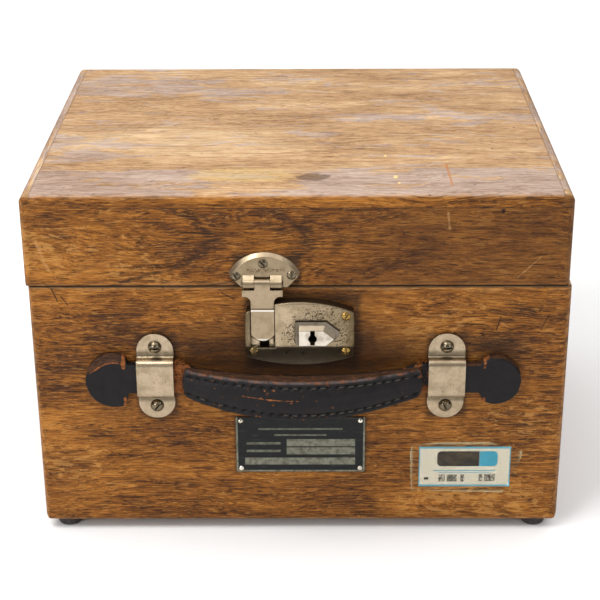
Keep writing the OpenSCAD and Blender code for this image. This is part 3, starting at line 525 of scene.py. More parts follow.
def lid_top_marks(k, colour):
    """Joint lines beside the side strips, stains, a painted highlight, a scratch and small chips."""
    (left, _, low), (right, back, high) = TOP_PANEL
    side = k.least(k.minus(k.x, left), k.minus(right, k.x))
    line = k.step(k.plus(side, k.stray(0.9, 14, 60, 3)), 0.75, 0.2)
    line = k.times(line, k.total(0.35, (k.noise(7, 61, 2), 0.9)))
    stain = k.on_top(MID_X + 7, FACE_Y + 24.8, 8.5, 0.6, 1.0)
    stain = k.step(k.plus(stain, k.stray(0.9, 4, 62, 3)), 0.4, 0.7)
    scratch = k.stroke((MID_X + 71.8, FACE_Y + 44, high), (MID_X + 72.6, FACE_Y + 13, high), 0.8, 0.8)
    chips = k.most(*[k.on_top(MID_X + x, FACE_Y + y, reach, 1, stretch) for x, y, reach, stretch in (
        (42.5, 55.7, 1.1, 0.6), (46.2, 24.8, 1.6, 0.5), (47.5, 16.4, 1.0, 0.6))])
    spot = k.on_top(MID_X + 30.7, FACE_Y + 66.5, 2.6, 0.7, 1.8)
    # painted highlight of the lamps on the lid's top, broken into streaks
    highlight = k.on_top(LID[0][0] + 70, back - 134, 62, 0.75, 1.7)
    highlight = k.times(highlight, k.step(k.noise((34, 3, 3), 63, 4, 0.65), 0.35, 0.65))
    yellow = k.on_top(MID_X - 28, FACE_Y + 28, 38, 0.8, 2.2)
    yellow = k.step(k.plus(yellow, k.stray(1.4, (14, 5, 5), 64, 5, 0.7)), 0.5, 0.7)
    under = k.times(k.line(k.z, low, 0.42, 0.12), k.step(k.y, FACE_Y + 3, FACE_Y + 1))
    for share, amount, paint in (
            (highlight, 0.5, TOP_HIGHLIGHT), (yellow, 0.4, YELLOWED), (stain, 0.8, STAIN), (spot, 0.7, SPOT),
            (scratch, 0.75, SCRATCH), (chips, 0.9, CHIP), (line, 0.55, JOINT), (under, 0.5, GRIME_AND_GAP_SHADE)):
        colour = k.over(colour, share, amount, paint)
    return colour, k.times(line, 0.6)


MARKS = {"base_front": base_front_marks, "lid_front": lid_front_marks, "lid_top": lid_top_marks}

# (x, z, reach) of the places on the two fronts where more of the varnish has flaked off
BALD = {
    "base_front": ((BASE[1][0] - 18, 62, 34), (BASE[1][0] - 40, 16, 44),
                   (BASE[1][0] - 60, 116, 30), (BASE[0][0] + 12, 40, 26)),
    "lid_front": ((LID[0][0] + 12, 156, 26), (LID[0][0] + 60, 147, 24)),
}

# the axis of the grain, the direction across the growth rings, the box and the seed
BOARDS = {
    "base_front": (0, (0, 0.34, 0.94), BASE, 11),
    "base_back": (0, (0, 0.30, 0.95), BASE, 23),
    "base_left": (1, (0.34, 0, 0.94), BASE, 31),
    "base_right": (1, (0.30, 0, 0.95), BASE, 43),
    "lid_front": (0, (0, 0.40, 0.92), LID, 57),
    "lid_back": (0, (0, 0.34, 0.94), LID, 61),
    "lid_left": (1, (0.34, 0, 0.94), LID, 73),
    "lid_right": (1, (0.30, 0, 0.95), LID, 87),
    "lid_top": (0, (0, 0.93, 0.36), LID, 95),
    "base_bottom": (0, (0, 0.93, 0.36), BASE, 103),
    "ledge_strips": (1, (0.5, 0, 0.86), BASE, 117),
}


# ---------------------------------------------------------------- metal

NICKEL = srgb(176, 157, 130)
NICKEL_LOOP = srgb(176, 157, 132)
NICKEL_TONGUE = srgb(162, 143, 118)
NICKEL_BUTTON = srgb(214, 204, 190)
NICKEL_NEW = srgb(228, 222, 206)
NICKEL_DIRT = srgb(128, 112, 84)
NICKEL_DARK = srgb(124, 112, 92)
TONGUE_HIGHLIGHT = srgb(236, 230, 220)
TARNISH_AND_SHADE = srgb(74, 66, 50)
BRASS = srgb(178, 142, 78)
BRASS_DIRT = srgb(104, 80, 40)
BRASS_DARK = srgb(96, 84, 60)
STEEL = srgb(150, 148, 144)
STEEL_DIRT = srgb(84, 80, 74)
BLACKENED = srgb(46, 42, 38)
BLACKENED_DIRT = srgb(26, 23, 20)
PIT = srgb(52, 44, 32)
CREVICE_DIRT_AND_SHADE = srgb(46, 36, 22)
SLOPE_REFLECTION = srgb(84, 75, 62)
LOCK_EDGE = srgb(80, 66, 44)
LOCK_CREST_REFLECTION = srgb(88, 76, 58)
LOCK_RIGHT_SHADE = srgb(104, 88, 62)
BUTTON_CREST = srgb(132, 116, 90)
BARE_FLANGE = srgb(70, 57, 36)
PLATE_FACE = srgb(98, 82, 54)
PLATE_SPECKS = srgb(58, 40, 26)

TONGUE_STEP = 15.5          # how far the tongue's step is below its top
LOOP_BEND = 12.2            # how far the loops' bends are above and below their middle
BUTTON_RISE = 1.9           # how far the thumb slide's button stands out of its flange


def worn_metal(name, tint, dirt, rough, pits=0.0, pit_spots=(), brushed=None, shade=None,
               round_mm=0.45):
    """Old plated metal. pits is how much of it is pitted everywhere, and pit_spots says where
    on the front it is worse. brushed is the axis of fine polish lines."""
    k = Look(name)
    worse = k.most(pits, *[k.on_front(*spot) for spot in pit_spots])
    pit = k.step(k.total(k.noise(0.75, 3, 3, 0.65), (worse, 0.17)), 0.69, 0.75)
    cloud = k.noise(5, 7, 4, 0.62)
    centred = k.minus(cloud, 0.5)
    colour = k.over(tint, k.step(k.total(cloud, (worse, 0.12)), 0.42, 0.70), 0.5, dirt)
    colour = k.over(colour, k.step(k.noise(0.35, 9, 2), 0.55, 0.75), 0.25, dirt)
    colour = k.over(colour, pit, 0.85, PIT)
    # dirt and painted shade in crevices, where the ambient occlusion is low
    corner = k.add("AmbientOcclusion", samples=6)
    corner.inputs["Distance"].default_value = 1.8 * MM
    crevice_dirt_and_shade = k.step(k.total(corner.outputs["AO"], (centred, 0.25)), 0.86, 0.42)
    colour = k.over(colour, crevice_dirt_and_shade, 0.85, CREVICE_DIRT_AND_SHADE)
    if shade:
        colour = shade(k, colour)
    lines = 0.25 if brushed is None else tuple(12 if i == brushed else 0.16 for i in range(3))
    polish = k.noise(lines, 13, 2, 0.6)
    roughness = k.total(rough, (centred, 0.35), (pit, 0.3), (k.minus(polish, 0.5), 0.12))
    height = k.total((pit, -1.0), (polish, 0.08), (cloud, 0.25))
    return k.finish(colour, roughness, height, 0.06, metallic=1.0, round_mm=round_mm)


def lock_shade(k, colour):
    """Painted dark reflection on the slope under the thumb slide and on the upward faces, darker towards
    both sides, and painted shade towards the right.
    """
    slope_top = THUMB[0][2]
    # painted dark reflection on the slope below the thumb slide
    slope = k.step(k.total(k.z, (k.noise(4, 21, 3), 1.8)), slope_top - 0.2, slope_top - 2.2)
    colour = k.over(colour, slope, 0.8, SLOPE_REFLECTION)
    edge = k.least(k.minus(k.x, LOCK[0][0]), k.minus(LOCK[1][0], k.x))
    edge = k.step(k.plus(edge, k.stray(7, 4, 22, 4, 0.65)), 5.0, 0.8)
    colour = k.over(colour, edge, 0.75, LOCK_EDGE)
    # painted dark reflection on the faces that look upward
    colour = k.over(colour, k.step(k.normal["Z"], 0.25, 0.6), 0.75, LOCK_CREST_REFLECTION)
    # painted shade, growing towards the right side
    right = k.step(k.plus(k.x, k.stray(26, 7, 24, 5, 0.7)), MID_X + 2, LOCK[1][0] + 2)
    return k.over(colour, right, 0.55, LOCK_RIGHT_SHADE)


def thumb_shade(k, colour):
    """The flange round the button has lost its plate, and the button is the brightest."""
    behind = THUMB[0][1] + BUTTON_RISE
    flange = k.step(k.y, behind, behind + 0.4)
    crest = k.times(k.step(k.normal["Z"], 0.2, 0.45), k.off(flange))
    left = k.step(k.normal["X"], -0.2, -0.5)
    colour = k.over(colour, crest, 0.8, BUTTON_CREST)
    return k.over(colour, k.most(flange, left), 0.95, BARE_FLANGE)


def tongue_highlights(k, colour):
    """Painted highlights along the edges of the step and of the tip."""
    low, high = TONGUE[0][2], TONGUE[1][2]
    step = k.line(k.z, high - TONGUE_STEP, 0.55, 0.2)
    tip = k.step(k.z, low + 1.9, low + 0.9)
    return k.over(colour, k.most(step, tip), 0.85, TONGUE_HIGHLIGHT)


def loop_shade(k, colour):
    """Dirt and painted shade where the loops bend away from the wood."""
    away = k.math("ABSOLUTE", k.minus(k.z, LOOP_Z))
    bend = k.line(away, LOOP_BEND, 2.6, 0.4)
    bend = k.times(bend, k.total(0.4, (k.noise(3, 23, 3), 0.8)))
    return k.over(colour, bend, 0.75, TARNISH_AND_SHADE)


def lock_screw_shade(k, colour):
    """The screws on the right are still brass; the left one has gone dark."""
    return k.over(colour, k.step(k.x, MID_X, MID_X - 4), 0.7, BRASS_DARK)


def hasp_plate_shade(k, colour):
    """Brown dirt lies in a band just above the knuckles."""
    (left, _, low), (right, _, _) = HASP_PLATE
    face = k.step(k.times(k.normal["Y"], -1.0), 0.9, 0.98)
    colour = k.over(colour, face, 0.42, PLATE_FACE)
    band = k.line(k.z, low + 9.2, 1.5, 0.3)
    specks = k.step(k.noise((0.9, 0.9, 0.6), 25, 3, 0.7), 0.50, 0.58)
    middle = k.line(k.x, (left + right) / 2, 11, 7)
    return k.over(colour, k.times(band, specks, middle), 0.85, PLATE_SPECKS)


def paint_metal():
    x, z = (THUMB[0][0] + THUMB[1][0]) / 2, (THUMB[0][2] + THUMB[1][2]) / 2
    lock_pits = ((x + 3, z + 7, 15, 0.6, 1.1), (x + 12, z - 1, 13, 1, 0.8), (x - 12, z - 1, 11, 1.1, 0.8))
    shared = (
        (worn_metal("nickel_tarnished", NICKEL_DARK, TARNISH_AND_SHADE, 0.20, 0.1),
         "loop_screws", "hasp_plate_screws", "hasp_staple"),
        (worn_metal("brass_old", BRASS, BRASS_DIRT, 0.34, 0.1),
         "hinge_base_leaves", "hinge_lid_leaves", "hinge_base_screws", "hinge_lid_screws"),
        (worn_metal("steel_drawn", STEEL, STEEL_DIRT, 0.38, 0.05, brushed=0),
         "foot_screws", "lock_spring", "hinge_pins", "hasp_pin"),
        (worn_metal("steel_blackened", BLACKENED, BLACKENED_DIRT, 0.55, 0.1),
         "lock_back_plate", "catch_bolt"),
        (worn_metal("nickel_pins", NICKEL_NEW, NICKEL_DIRT, 0.2), "nameplate_pins"),
        (worn_metal("nickel_loops", NICKEL_LOOP, NICKEL_DIRT, 0.32, 0.3, shade=loop_shade),
         "handle_loops"),
        (worn_metal("nickel_lock", NICKEL, NICKEL_DIRT, 0.34, 0.35, lock_pits, shade=lock_shade,
                    round_mm=1.6), "lock_case"),
        (worn_metal("nickel_hasp_plate", NICKEL, NICKEL_DIRT, 0.36, 0.15, shade=hasp_plate_shade),
         "hasp_plate"),
        (worn_metal("nickel_hasp_tongue", NICKEL_TONGUE, NICKEL_DIRT, 0.32, brushed=2,
                    shade=tongue_highlights), "hasp_tongue"),
        (worn_metal("nickel_thumb_slide", NICKEL_BUTTON, NICKEL_DIRT, 0.36, 0.02, brushed=0,
                    shade=thumb_shade), "thumb_slide"),
        (worn_metal("brass_lock_screws", BRASS, BRASS_DIRT, 0.22, 0.1, shade=lock_screw_shade),
         "lock_screws"))
    for material, *nodes in shared:
        for node in nodes:
            dress(node, material)


# ---------------------------------------------------------------- plate, label, feet

ENAMEL = srgb(9, 11, 13)
ENAMEL_WORN = srgb(26, 26, 24)
ENAMEL_SCRATCH = srgb(120, 118, 104)
ETCHED = srgb(122, 122, 106)
ETCHED_DARK = srgb(78, 78, 64)
PAPER = srgb(255, 249, 228)
PAPER_AGED = srgb(240, 228, 198)
PAPER_SPECK = srgb(190, 176, 140)
INK_BLUE = srgb(60, 178, 206)
INK_BLACK = srgb(22, 23, 27)
TAPE_PALE = srgb(244, 226, 178)
TAPE_YELLOW = srgb(226, 194, 132)
RUBBER = srgb(34, 28, 26)
RUBBER_DUST = srgb(78, 66, 56)


def nameplate_look():
    """Etched plate: black ground, bare metal border, blank fields and caption bars."""
    k = Look("nameplate_enamel")
    low, high = PLATE
    middle = (low[0] + high[0]) / 2
    height = high[2] - low[2]

    def fields(*rows):
        """Rectangles given as (x, x, z, z): x from the middle, z as a share of the height."""
        return k.most(*[k.in_box(middle + x0, low[2] + z0 * height, middle + x1, low[2] + z1 * height)
                        for x0, x1, z0, z1 in rows])

    border = k.off(k.in_box(low[0] + 0.9, low[2] + 0.9, high[0] - 0.9, high[2] + 3))
    blanks = fields((-6.9, 27.3, 0.468, 0.60), (-7.0, 27.3, 0.318, 0.448), (-27.9, 27.4, 0.13, 0.258))
    captions = fields((-27, -10, 0.50, 0.545), (-27, -10, 0.36, 0.405), (-21, 21, 0.77, 0.80),
                      (-13, 13, 0.66, 0.69))
    metal = k.most(border, blanks, k.times(captions, 0.75))
    rub = k.noise(3, 4, 4, 0.65)
    scratch = k.step(k.noise((14, 1, 0.4), 6, 2, 0.6), 0.66, 0.72)
    black = k.over(k.fade(rub, 0.45, 0.75, ENAMEL, ENAMEL_WORN), scratch, 0.35, ENAMEL_SCRATCH)
    colour = k.mix(metal, black, k.fade(rub, 0.35, 0.7, ETCHED, ETCHED_DARK))
    rise = k.total((metal, 0.6), (rub, 0.25), (scratch, -0.2))
    return k.finish(colour, k.total(0.34, (rub, 0.25)), rise, 0.08, metallic=0.15,
                    Specular_IOR_Level=0.3)


def label_look():
    """A printed paper label: a rounded header, black on the left and blue on the right, a thin
    frame, ruled lines and the bars of a blank stamp."""
    k = Look("label_paper")
    low, high = LABEL
    w, h = high[0] - low[0], high[2] - low[2]
    header_r, header_soft = 2.2, 0.15

    def block(x0, x1, z0, z1, soft=0.12):
        """A rectangle given in shares of the label's width and height."""
        return k.in_box(low[0] + x0 * w, low[2] + z0 * h, low[0] + x1 * w, low[2] + z1 * h, soft)

    def past(value, middle, half):
        """How far the value is outside the straight part of a rounded side."""
        away = k.math("ABSOLUTE", k.minus(value, middle))
        return k.most(k.minus(away, half - header_r), 0.0)

    dx = past(k.x, low[0] + 0.53 * w, 0.33 * w)
    dz = past(k.z, low[2] + 0.70 * h, 0.19 * h)
    header = k.step(k.total((dx, dx), (dz, dz)), (header_r + header_soft) ** 2,
                    (header_r - header_soft) ** 2)
    frame_line = k.minus(block(-0.1, 1.1, -0.1, 1.1), block(0.012, 0.988, 0.045, 0.955))
    right = k.step(k.x, low[0] + 0.655 * w, low[0] + 0.665 * w)
    ragged = k.noise(0.5, 3, 2)
    blue = k.most(k.times(frame_line, 0.9), k.times(header, right),
                  k.times(block(0.16, 0.84, 0.385, 0.415, 0.08), 0.8),
                  k.times(block(0.22, 0.78, 0.335, 0.36, 0.08), 0.6))
    stamp = k.most(*[block(*bar) for bar in (
        (0.22, 0.29, 0.12, 0.30), (0.31, 0.42, 0.12, 0.30), (0.46, 0.50, 0.12, 0.30),
        (0.66, 0.70, 0.13, 0.31), (0.72, 0.84, 0.13, 0.31))])
    black = k.most(k.times(header, k.off(right)), block(0.06, 0.11, 0.17, 0.23),
                   k.times(stamp, k.step(ragged, 0.38, 0.52)))
    paper = k.mix(k.noise(12, 1, 4), PAPER, PAPER_AGED)
    paper = k.over(paper, k.step(ragged, 0.5, 0.7), 0.12, PAPER_SPECK)
    colour = k.mix(black, k.mix(blue, paper, INK_BLUE), INK_BLACK)
    return k.finish(colour, 0.55, k.noise(0.4, 8, 3), 0.02)


def film_look():
    """Yellowed clear tape, a little thicker to the eye along its border."""
    k = Look("tape_film")
    cloud = k.noise(6, 2, 4, 0.6)
    colour = k.fade(cloud, 0.35, 0.7, TAPE_PALE, TAPE_YELLOW)
    material = k.finish(colour, k.total(0.12, (cloud, 0.25)), cloud, 0.05, Specular_IOR_Level=0.55)
    (x0, _, z0), (x1, _, z1) = TAPE
    border = k.off(k.in_box(x0 + 1.2, z0 + 1.2, x1 - 1.2, z1 - 1.2, 0.8))
    alpha = k.total(0.02, (k.step(cloud, 0.5, 0.7), 0.06), (border, 0.34))
    k.put(alpha, k.shader.inputs["Alpha"])
    return material


def rubber_look():
    k = Look("foot_rubber")
    dust = k.noise(2.2, 2, 4, 0.65)
    colour = k.fade(dust, 0.45, 0.75, RUBBER, RUBBER_DUST)
    return k.finish(colour, k.total(0.5, (dust, 0.3)), dust, 0.12)


# ---------------------------------------------------------------- leather and thread

LEATHER_BLACK = srgb(21, 17, 18)
LEATHER_DEEP = srgb(13, 10, 10)
LEATHER_GRAIN = srgb(36, 35, 38)
LEATHER_EDGE_HIGHLIGHT = srgb(104, 96, 96)
LEATHER_RAW = srgb(150, 90, 42)
LEATHER_RAW_DARK = srgb(98, 54, 24)
LEATHER_BROWN = srgb(74, 46, 26)
LEATHER_BROWN_DARK = srgb(34, 21, 14)
LEATHER_TAN = srgb(104, 66, 38)
LEATHER_SPOT = srgb(104, 60, 32)
LEATHER_RIM = srgb(112, 66, 34)
LEATHER_SLIT = srgb(20, 14, 11)
HOLE_SHADE = srgb(10, 8, 8)
THREAD_DARK = srgb(24, 19, 15)
THREAD_PALE = srgb(66, 56, 45)


def leather_look(name, worn_more=0.0):
    """Black finished leather. The piece's own numbers say where the finish is gone (raw),
    where it has turned brown (top), where it is pierced (hole) and where its edges are."""
    k = Look(name, rest_attribute=True)
    cloud = k.noise(7, 3, 4, 0.62)
    grain = k.noise(0.55, 5, 3, 0.6)
    crack = k.noise((7, 1.1, 1.1), 7, 4, 0.7, 0.8)
    patch = k.noise(3.2, 9, 5, 0.68, 0.4)
    patchy = k.minus(patch, 0.5)
    worn = k.step(k.total(k.fact("raw"), (patchy, 1.6)), 0.45, 0.6)
    brownness = k.step(k.total(k.fact("top"), (patchy, 1.2)), 0.4, 0.75)
    edge = k.fact("edge")
    black = k.fade(cloud, 0.35, 0.7, LEATHER_BLACK, LEATHER_DEEP)
    black = k.over(black, k.step(grain, 0.5, 0.75), 0.3, LEATHER_GRAIN)
    brown = k.fade(crack, 0.35, 0.65, LEATHER_BROWN_DARK, LEATHER_BROWN)
    brown = k.fade(patch, 0.58, 0.70, brown, LEATHER_TAN)
    colour = k.mix(brownness, black, brown)
    # painted highlight along the cover's rounded front edges
    colour = k.over(colour, k.times(edge, k.step(cloud, 0.3, 0.6)), 0.5, LEATHER_EDGE_HIGHLIGHT)
    colour = k.over(colour, k.times(edge, k.step(patch, 0.47, 0.60)), 0.85, LEATHER_RIM)
    colour = k.over(colour, k.step(k.plus(patch, worn_more), 0.665, 0.715), 0.55, LEATHER_SPOT)
    colour = k.mix(worn, colour, k.fade(crack, 0.4, 0.7, LEATHER_RAW_DARK, LEATHER_RAW))
    rubbed = k.most(worn, brownness)
    slit = k.times(k.step(crack, 0.36, 0.30), rubbed)
    colour = k.over(colour, slit, 0.8, LEATHER_SLIT)
    # painted shade inside the stitch holes
    colour = k.mix(k.fact("hole"), colour, HOLE_SHADE)
    rough = k.total(0.42, (grain, 0.25), (rubbed, 0.2))
    height = k.total((grain, 0.22), (slit, -0.6), (patch, 0.3), (worn, crack, 0.5))
    return k.finish(colour, rough, height, 0.22, Specular_IOR_Level=0.2)


def thread_look():
    k = Look("waxed_thread", rest_attribute=True)
    ply = k.noise((0.5, 0.3, 0.3), 2, 2)
    return k.finish(k.fade(ply, 0.35, 0.7, THREAD_DARK, THREAD_PALE), 0.6, ply, 0.1)


# ---------------------------------------------------------------- the handle's forms

HALF = (GRIP[1][0] - GRIP[0][0]) / 2
GRIP_X = (GRIP[0][0] + GRIP[1][0]) / 2
SIDES = {-1: "left", 1: "right"}

# (at the grip's middle, at its ends): how far out its front and back are, its lower and
# upper edge
FRONT = (20.0, 9.0)
BACK = (12.2, 5.2)
LOW = (GRIP[0][2], GRIP[0][2] + 7.1)
HIGH = (GRIP[1][2] - 1.3, GRIP[1][2])

ROW_DOWN, ROW_UP = 3.4, 3.0         # the rows of stitches from the upper and lower edge
HOLE_PITCH = 4.5
HOLE_R = 0.95
ROWS_END = 2.4                      # the rows stop this far from the grip's ends
COVER_EDGE_R = 1.5
COVER_END_R = 1.1
COVER_REACH = {-1: -0.8, 1: 1.6}    # how much longer than the plain form each end is
STATION = 0.5
STRAP_THICK = 4.1
STRAP_BACK = 0.4
STRAP_THIN = 2.2                    # the strap under the cover
STRAP_STATIONS = 130
NECK_HALF = 7.7                     # half the strap's width in the loops


def on_face(x, t, z):
    """A point t millimetres out from the front of the box."""
    return (x, FACE_Y - t, z)


def arc(x, middle, end):
    """Height of a circular arc with these values at its middle and at HALF either side."""
    sag = middle - end
    radius = (HALF * HALF + sag * sag) / (2 * abs(sag))
    drop = radius - math.sqrt(radius * radius - x * x)
    return middle - math.copysign(drop, sag)


def cloud(point, size, seed):
    """Smooth noise from -1 to 1 with blobs of about size = (x, y, z) millimetres."""
    return noise.noise(Vector([c / s + seed for c, s in zip(point, size)]))


def ease(value, low, high):
    """0 at low and 1 at high, smooth between them."""
    share = min(max((value - low) / (high - low), 0.0), 1.0)
    return share * share * (3 - 2 * share)


def add_object(name, points, faces):
    """A mesh object from points in millimetres."""
    mesh = bpy.data.meshes.new(name)
    mesh.from_pydata([tuple(c * MM for c in p) for p in points], [], faces)
    thing = bpy.data.objects.new(name, mesh)
    bpy.context.scene.collection.objects.link(thing)
    return thing


def make_piece(name, points, faces, material, slot, flat=(), **facts):
    """A visible piece that keeps facts for each of its points. flat lists the faces that meet
    their neighbours at a sharp edge."""
    piece = add_object(name, points, faces)
    mesh = piece.data
    mesh.update()
    smooth = [True] * len(mesh.polygons)
    for i in flat:
        smooth[i] = False
    mesh.polygons.foreach_set("use_smooth", smooth)
    rest = mesh.attributes.new("rest_mm", "FLOAT_VECTOR", "POINT")
    rest.data.foreach_set("vector", np.array(points, np.float32).ravel())
    for key in ("raw", "top", "hole", "edge"):
        values = facts.get(key, [0.0] * len(points))
        attribute = mesh.attributes.new(key, "FLOAT", "POINT")
        attribute.data.foreach_set("value", np.array(values, np.float32))
    mesh.materials.append(material)
    return piece


def loft(rings, first=0):
    """Points and faces of a closed tube through equal rings, with a face over each end. The
    points are numbered from first."""
    count, size = len(rings), len(rings[0])
    points = [p for ring in rings for p in ring]
    faces = []
    for i in range(first, first + (count - 1) * size, size):
        for j in range(size):
            k = (j + 1) % size
            faces.append((i + j, i + k, i + size + k, i + size + j))
    last = first + (count - 1) * size
    faces.append(tuple(first + j for j in reversed(range(size))))
    faces.append(tuple(last + j for j in range(size)))
    return points, faces


def loft_half(side, rings):
    """A loft that starts at the grip's middle and goes to one side."""
    points, faces = loft(rings)
    if side < 0:
        faces = [tuple(reversed(f)) for f in faces]
    return points, faces


# ---- outlines across the cover and the strap, as (t, z, outward t, outward z)

def straight(start, end, count, outward):
    return [(start[0] + (end[0] - start[0]) * i / (count - 1),
             start[1] + (end[1] - start[1]) * i / (count - 1)) + outward for i in range(count)]


def quarter(t, z, r, turn, steps):
    """Points inside a quarter circle round (t, z) that begins turn quarter turns from front."""
    angles = [math.pi / 2 * (turn + i / steps) for i in range(1, steps)]
    return [(t + r * math.cos(a), z + r * math.sin(a), math.cos(a), math.sin(a)) for a in angles]


def outline(front, back, low, high, r, r_back, counts, steps):
    """Up the front, then back and down. counts are the points along the front, top, back and
    bottom, steps the divisions of the front's corners."""
    depth = max(front - back - r - r_back, 0.05)
    return (straight((front, low + r), (front, high - r), counts[0], (1, 0))
            + quarter(front - r, high - r, r, 0, steps)
            + straight((front - r, high), (front - r - depth, high), counts[1], (0, 1))
            + quarter(back + r_back, high - r_back, r_back, 1, 4)
            + straight((back, high - r_back), (back, low + r_back), counts[2], (-1, 0))
            + quarter(back + r_back, low + r_back, r_back, 2, 4)
            + straight((back + r_back, low), (back + r_back + depth, low), counts[3], (0, -1))
            + quarter(front - r, low + r, r, 3, steps))


def cover_section(x, inset):
    """Round the cover at x. inset shrinks it, for the rounded end."""
    front, back = arc(x, *FRONT) - inset, arc(x, *BACK) + inset * 0.5
    low, high = arc(x, *LOW) + inset, arc(x, *HIGH) - inset
    r = min(COVER_EDGE_R, (front - back) * 0.42)
    return outline(front, back, low, high, r, 0.6, (55, 13, 19, 9), 6)


# ---- the grip's cover: two halves that meet at the middle, each bending toward its own end

def rows_at(x):
    """Heights of the two rows of stitches."""
    return arc(x, *HIGH) - ROW_DOWN, arc(x, *LOW) + ROW_UP


def relief(x, t, z, out_t, out_z):
    """How far the leather stands out of its plain form at x from the grip's middle, how much
    it belongs to the worn top and how much to a hole."""
    upper, lower = rows_at(x)
    gap = min(abs(z - upper), abs(z - lower))
    spot = (GRIP_X + x, t, z)
    rise = 0.16 * cloud(spot, (6, 6, 5), 3) + 0.08 * cloud(spot, (2.1, 2.1, 1.7), 11)
    hole = 0.0
    if out_t > 0.7:
        half = (upper - lower) / 2
        rise += 0.75 * (1 - ease(abs(z - (upper + lower) / 2), half * 0.3, half))
        rise -= 0.30 * math.exp(-(gap / 0.75) ** 2)
        nearest = HOLE_PITCH * round(x / HOLE_PITCH)
        if abs(nearest) < HALF - ROWS_END:
            away = (x - nearest) ** 2 + gap ** 2
            hole = math.exp(-away / (HOLE_R * HOLE_R))
            rise += 0.14 * math.exp(-away / 3.0) - 0.95 * hole
    if out_z > 0.5:
        rise += 0.28 * cloud(spot, (9, 1.5, 2.2), 21) + 0.16 * cloud(spot, (2.6, 0.9, 1), 31)
    top = ease(out_z, 0.75, 0.95) * ease(abs(x), HALF + 12, HALF - 6)
    return rise, top, hole


def worn_at(x, z, out_z):
    """Where the black finish has rubbed off the cover at x from the grip's middle."""
    bottom = arc(x, *LOW)
    end = 0.45 * ease(abs(x), HALF - 5.5, HALF + 1)
    scratch = 0.72 * math.exp(-((z - (bottom + 11.3)) / 0.4) ** 2) * ease(x, -32, -26) * ease(x, 8, -4)
    edge = 0.32 * (1 - ease(z - bottom, 0.0, 1.4))
    spots = 0.5 * ease(cloud((GRIP_X + x, 0, z), (2.2, 2, 1.3), 41), 0.30, 0.55)
    return max(end, scratch, edge, spots * (1 if x < 20 else 0.5), 0.12 * out_z)


def cover_half(side, material):
    rings = []
    facts = {"raw": [], "top": [], "hole": [], "edge": []}
    # the second ring keeps the flat end from shading the cover beside it
    stations = [(0.0, 0.0), (0.03, 0.0)]
    stations += [(STATION * i, 0.0) for i in range(1, int(HALF / STATION) - 1)]
    stations += [(HALF - COVER_END_R * (1 - math.sin(a)), COVER_END_R * (1 - math.cos(a)))
                 for a in (0, 0.35, 0.7, 1.05, 1.4)]
    for away, inset in stations:
        ring = []
        x = side * min(away, HALF)
        low, high = arc(x, *LOW), arc(x, *HIGH)
        for t, z, out_t, out_z in cover_section(x, inset):
            rise, top, hole = relief(x, t, z, out_t, out_z)
            longer = 1.5 * (1 - ((2 * z - low - high) / (high - low)) ** 2) * ease(away, 50, HALF)
            longer += COVER_REACH[side] * ease(away, 46, HALF)
            longer += 0.35 * cloud((0, t, z), (1, 2.5, 1.6), 51 + side) * ease(away, 52, HALF)
            ring.append(on_face(GRIP_X + x + side * longer, t + rise * out_t, z + rise * out_z))
            facts["raw"].append(worn_at(x, z, out_z))
            facts["top"].append(top)
            facts["hole"].append(hole)
            facts["edge"].append(ease(out_z, 0.15, 0.4) * ease(out_t, 0.15, 0.6))
        rings.append(ring)
    points, faces = loft_half(side, rings)
    return make_piece("grip_cover_" + SIDES[side], points, faces, material, "black_leather",
                      flat=(len(faces) - 2,), **facts)


# ---- the strap behind the cover, which runs on through the loops

def strap_at(side, away):
    """The strap's section, which follows the grip and then eases to its form in the loop."""
    x = side * min(away, HALF)
    share = ease(away, HALF - 8, HALF + 5)
    sizes = ((BACK, 0.0, STRAP_BACK + STRAP_THICK), (BACK, -STRAP_THIN, STRAP_BACK),
             (LOW, 0.6, LOOP_Z - NECK_HALF), (HIGH, -0.6, LOOP_Z + NECK_HALF))
    front, back, low, high = [(arc(x, *shape) + more) * (1 - share) + in_loop * share
                              for shape, more, in_loop in sizes]
    r = min(1.0, (front - back) * 0.4)
    return outline(front, back, low, high, r, r, (22, 0, 12, 0), 4)


def strap_half(side, material):
    """The raw strap's face from the middle of the grip to the inside of a loop."""
    rings, raws = [], []
    reach = LOOP_MIDDLES[1] - GRIP_X
    for i in range(STRAP_STATIONS + 1):
        away = reach * i / STRAP_STATIONS
        x = side * away
        ring = []
        for t, z, out_t, out_z in strap_at(side, away):
            spot = (x, t, z)
            shaggy = ease(away, HALF - 4, HALF) * ease(away, reach - 6, reach - 10)
            rise = 0.12 * cloud(spot, (3, 3, 3), 61) + shaggy * (
                0.35 * cloud(spot, (1.6, 1.6, 0.7), 67) + 0.25 * cloud(spot, (0.8, 0.8, 0.5), 71))
            ring.append(on_face(GRIP_X + x, t + rise * out_t, z + rise * out_z))
            worn = 1.0 if side < 0 else 0.40 + 0.55 * ease(LOOP_Z - z, 2.5, 6.0)
            raws.append(max(0.35, worn * ease(away, HALF - 6, HALF)))
        rings.append(ring)
    points, faces = loft_half(side, rings)
    return make_piece("grip_strap_" + SIDES[side], points, faces, material, "raw_leather",
                      flat=(len(faces) - 2, len(faces) - 1), raw=raws)


def add_thread(points, faces, path, radii, sides):
    """A thin closed tube along a path, added to the lists."""
    rings = []
    for i, (at, radius) in enumerate(zip(path, radii)):
        ahead = path[min(i + 1, len(path) - 1)] - path[max(i - 1, 0)]
        across = ahead.orthogonal().normalized()
        other = ahead.cross(across).normalized()
        angles = [2 * math.pi * j / sides for j in range(sides)]
        rings.append([tuple(at + across * (radius * math.cos(a)) + other * (radius * math.sin(a)))
                      for a in angles])
    more_points, more_faces = loft(rings, len(points))
    points += more_points
    faces += more_faces


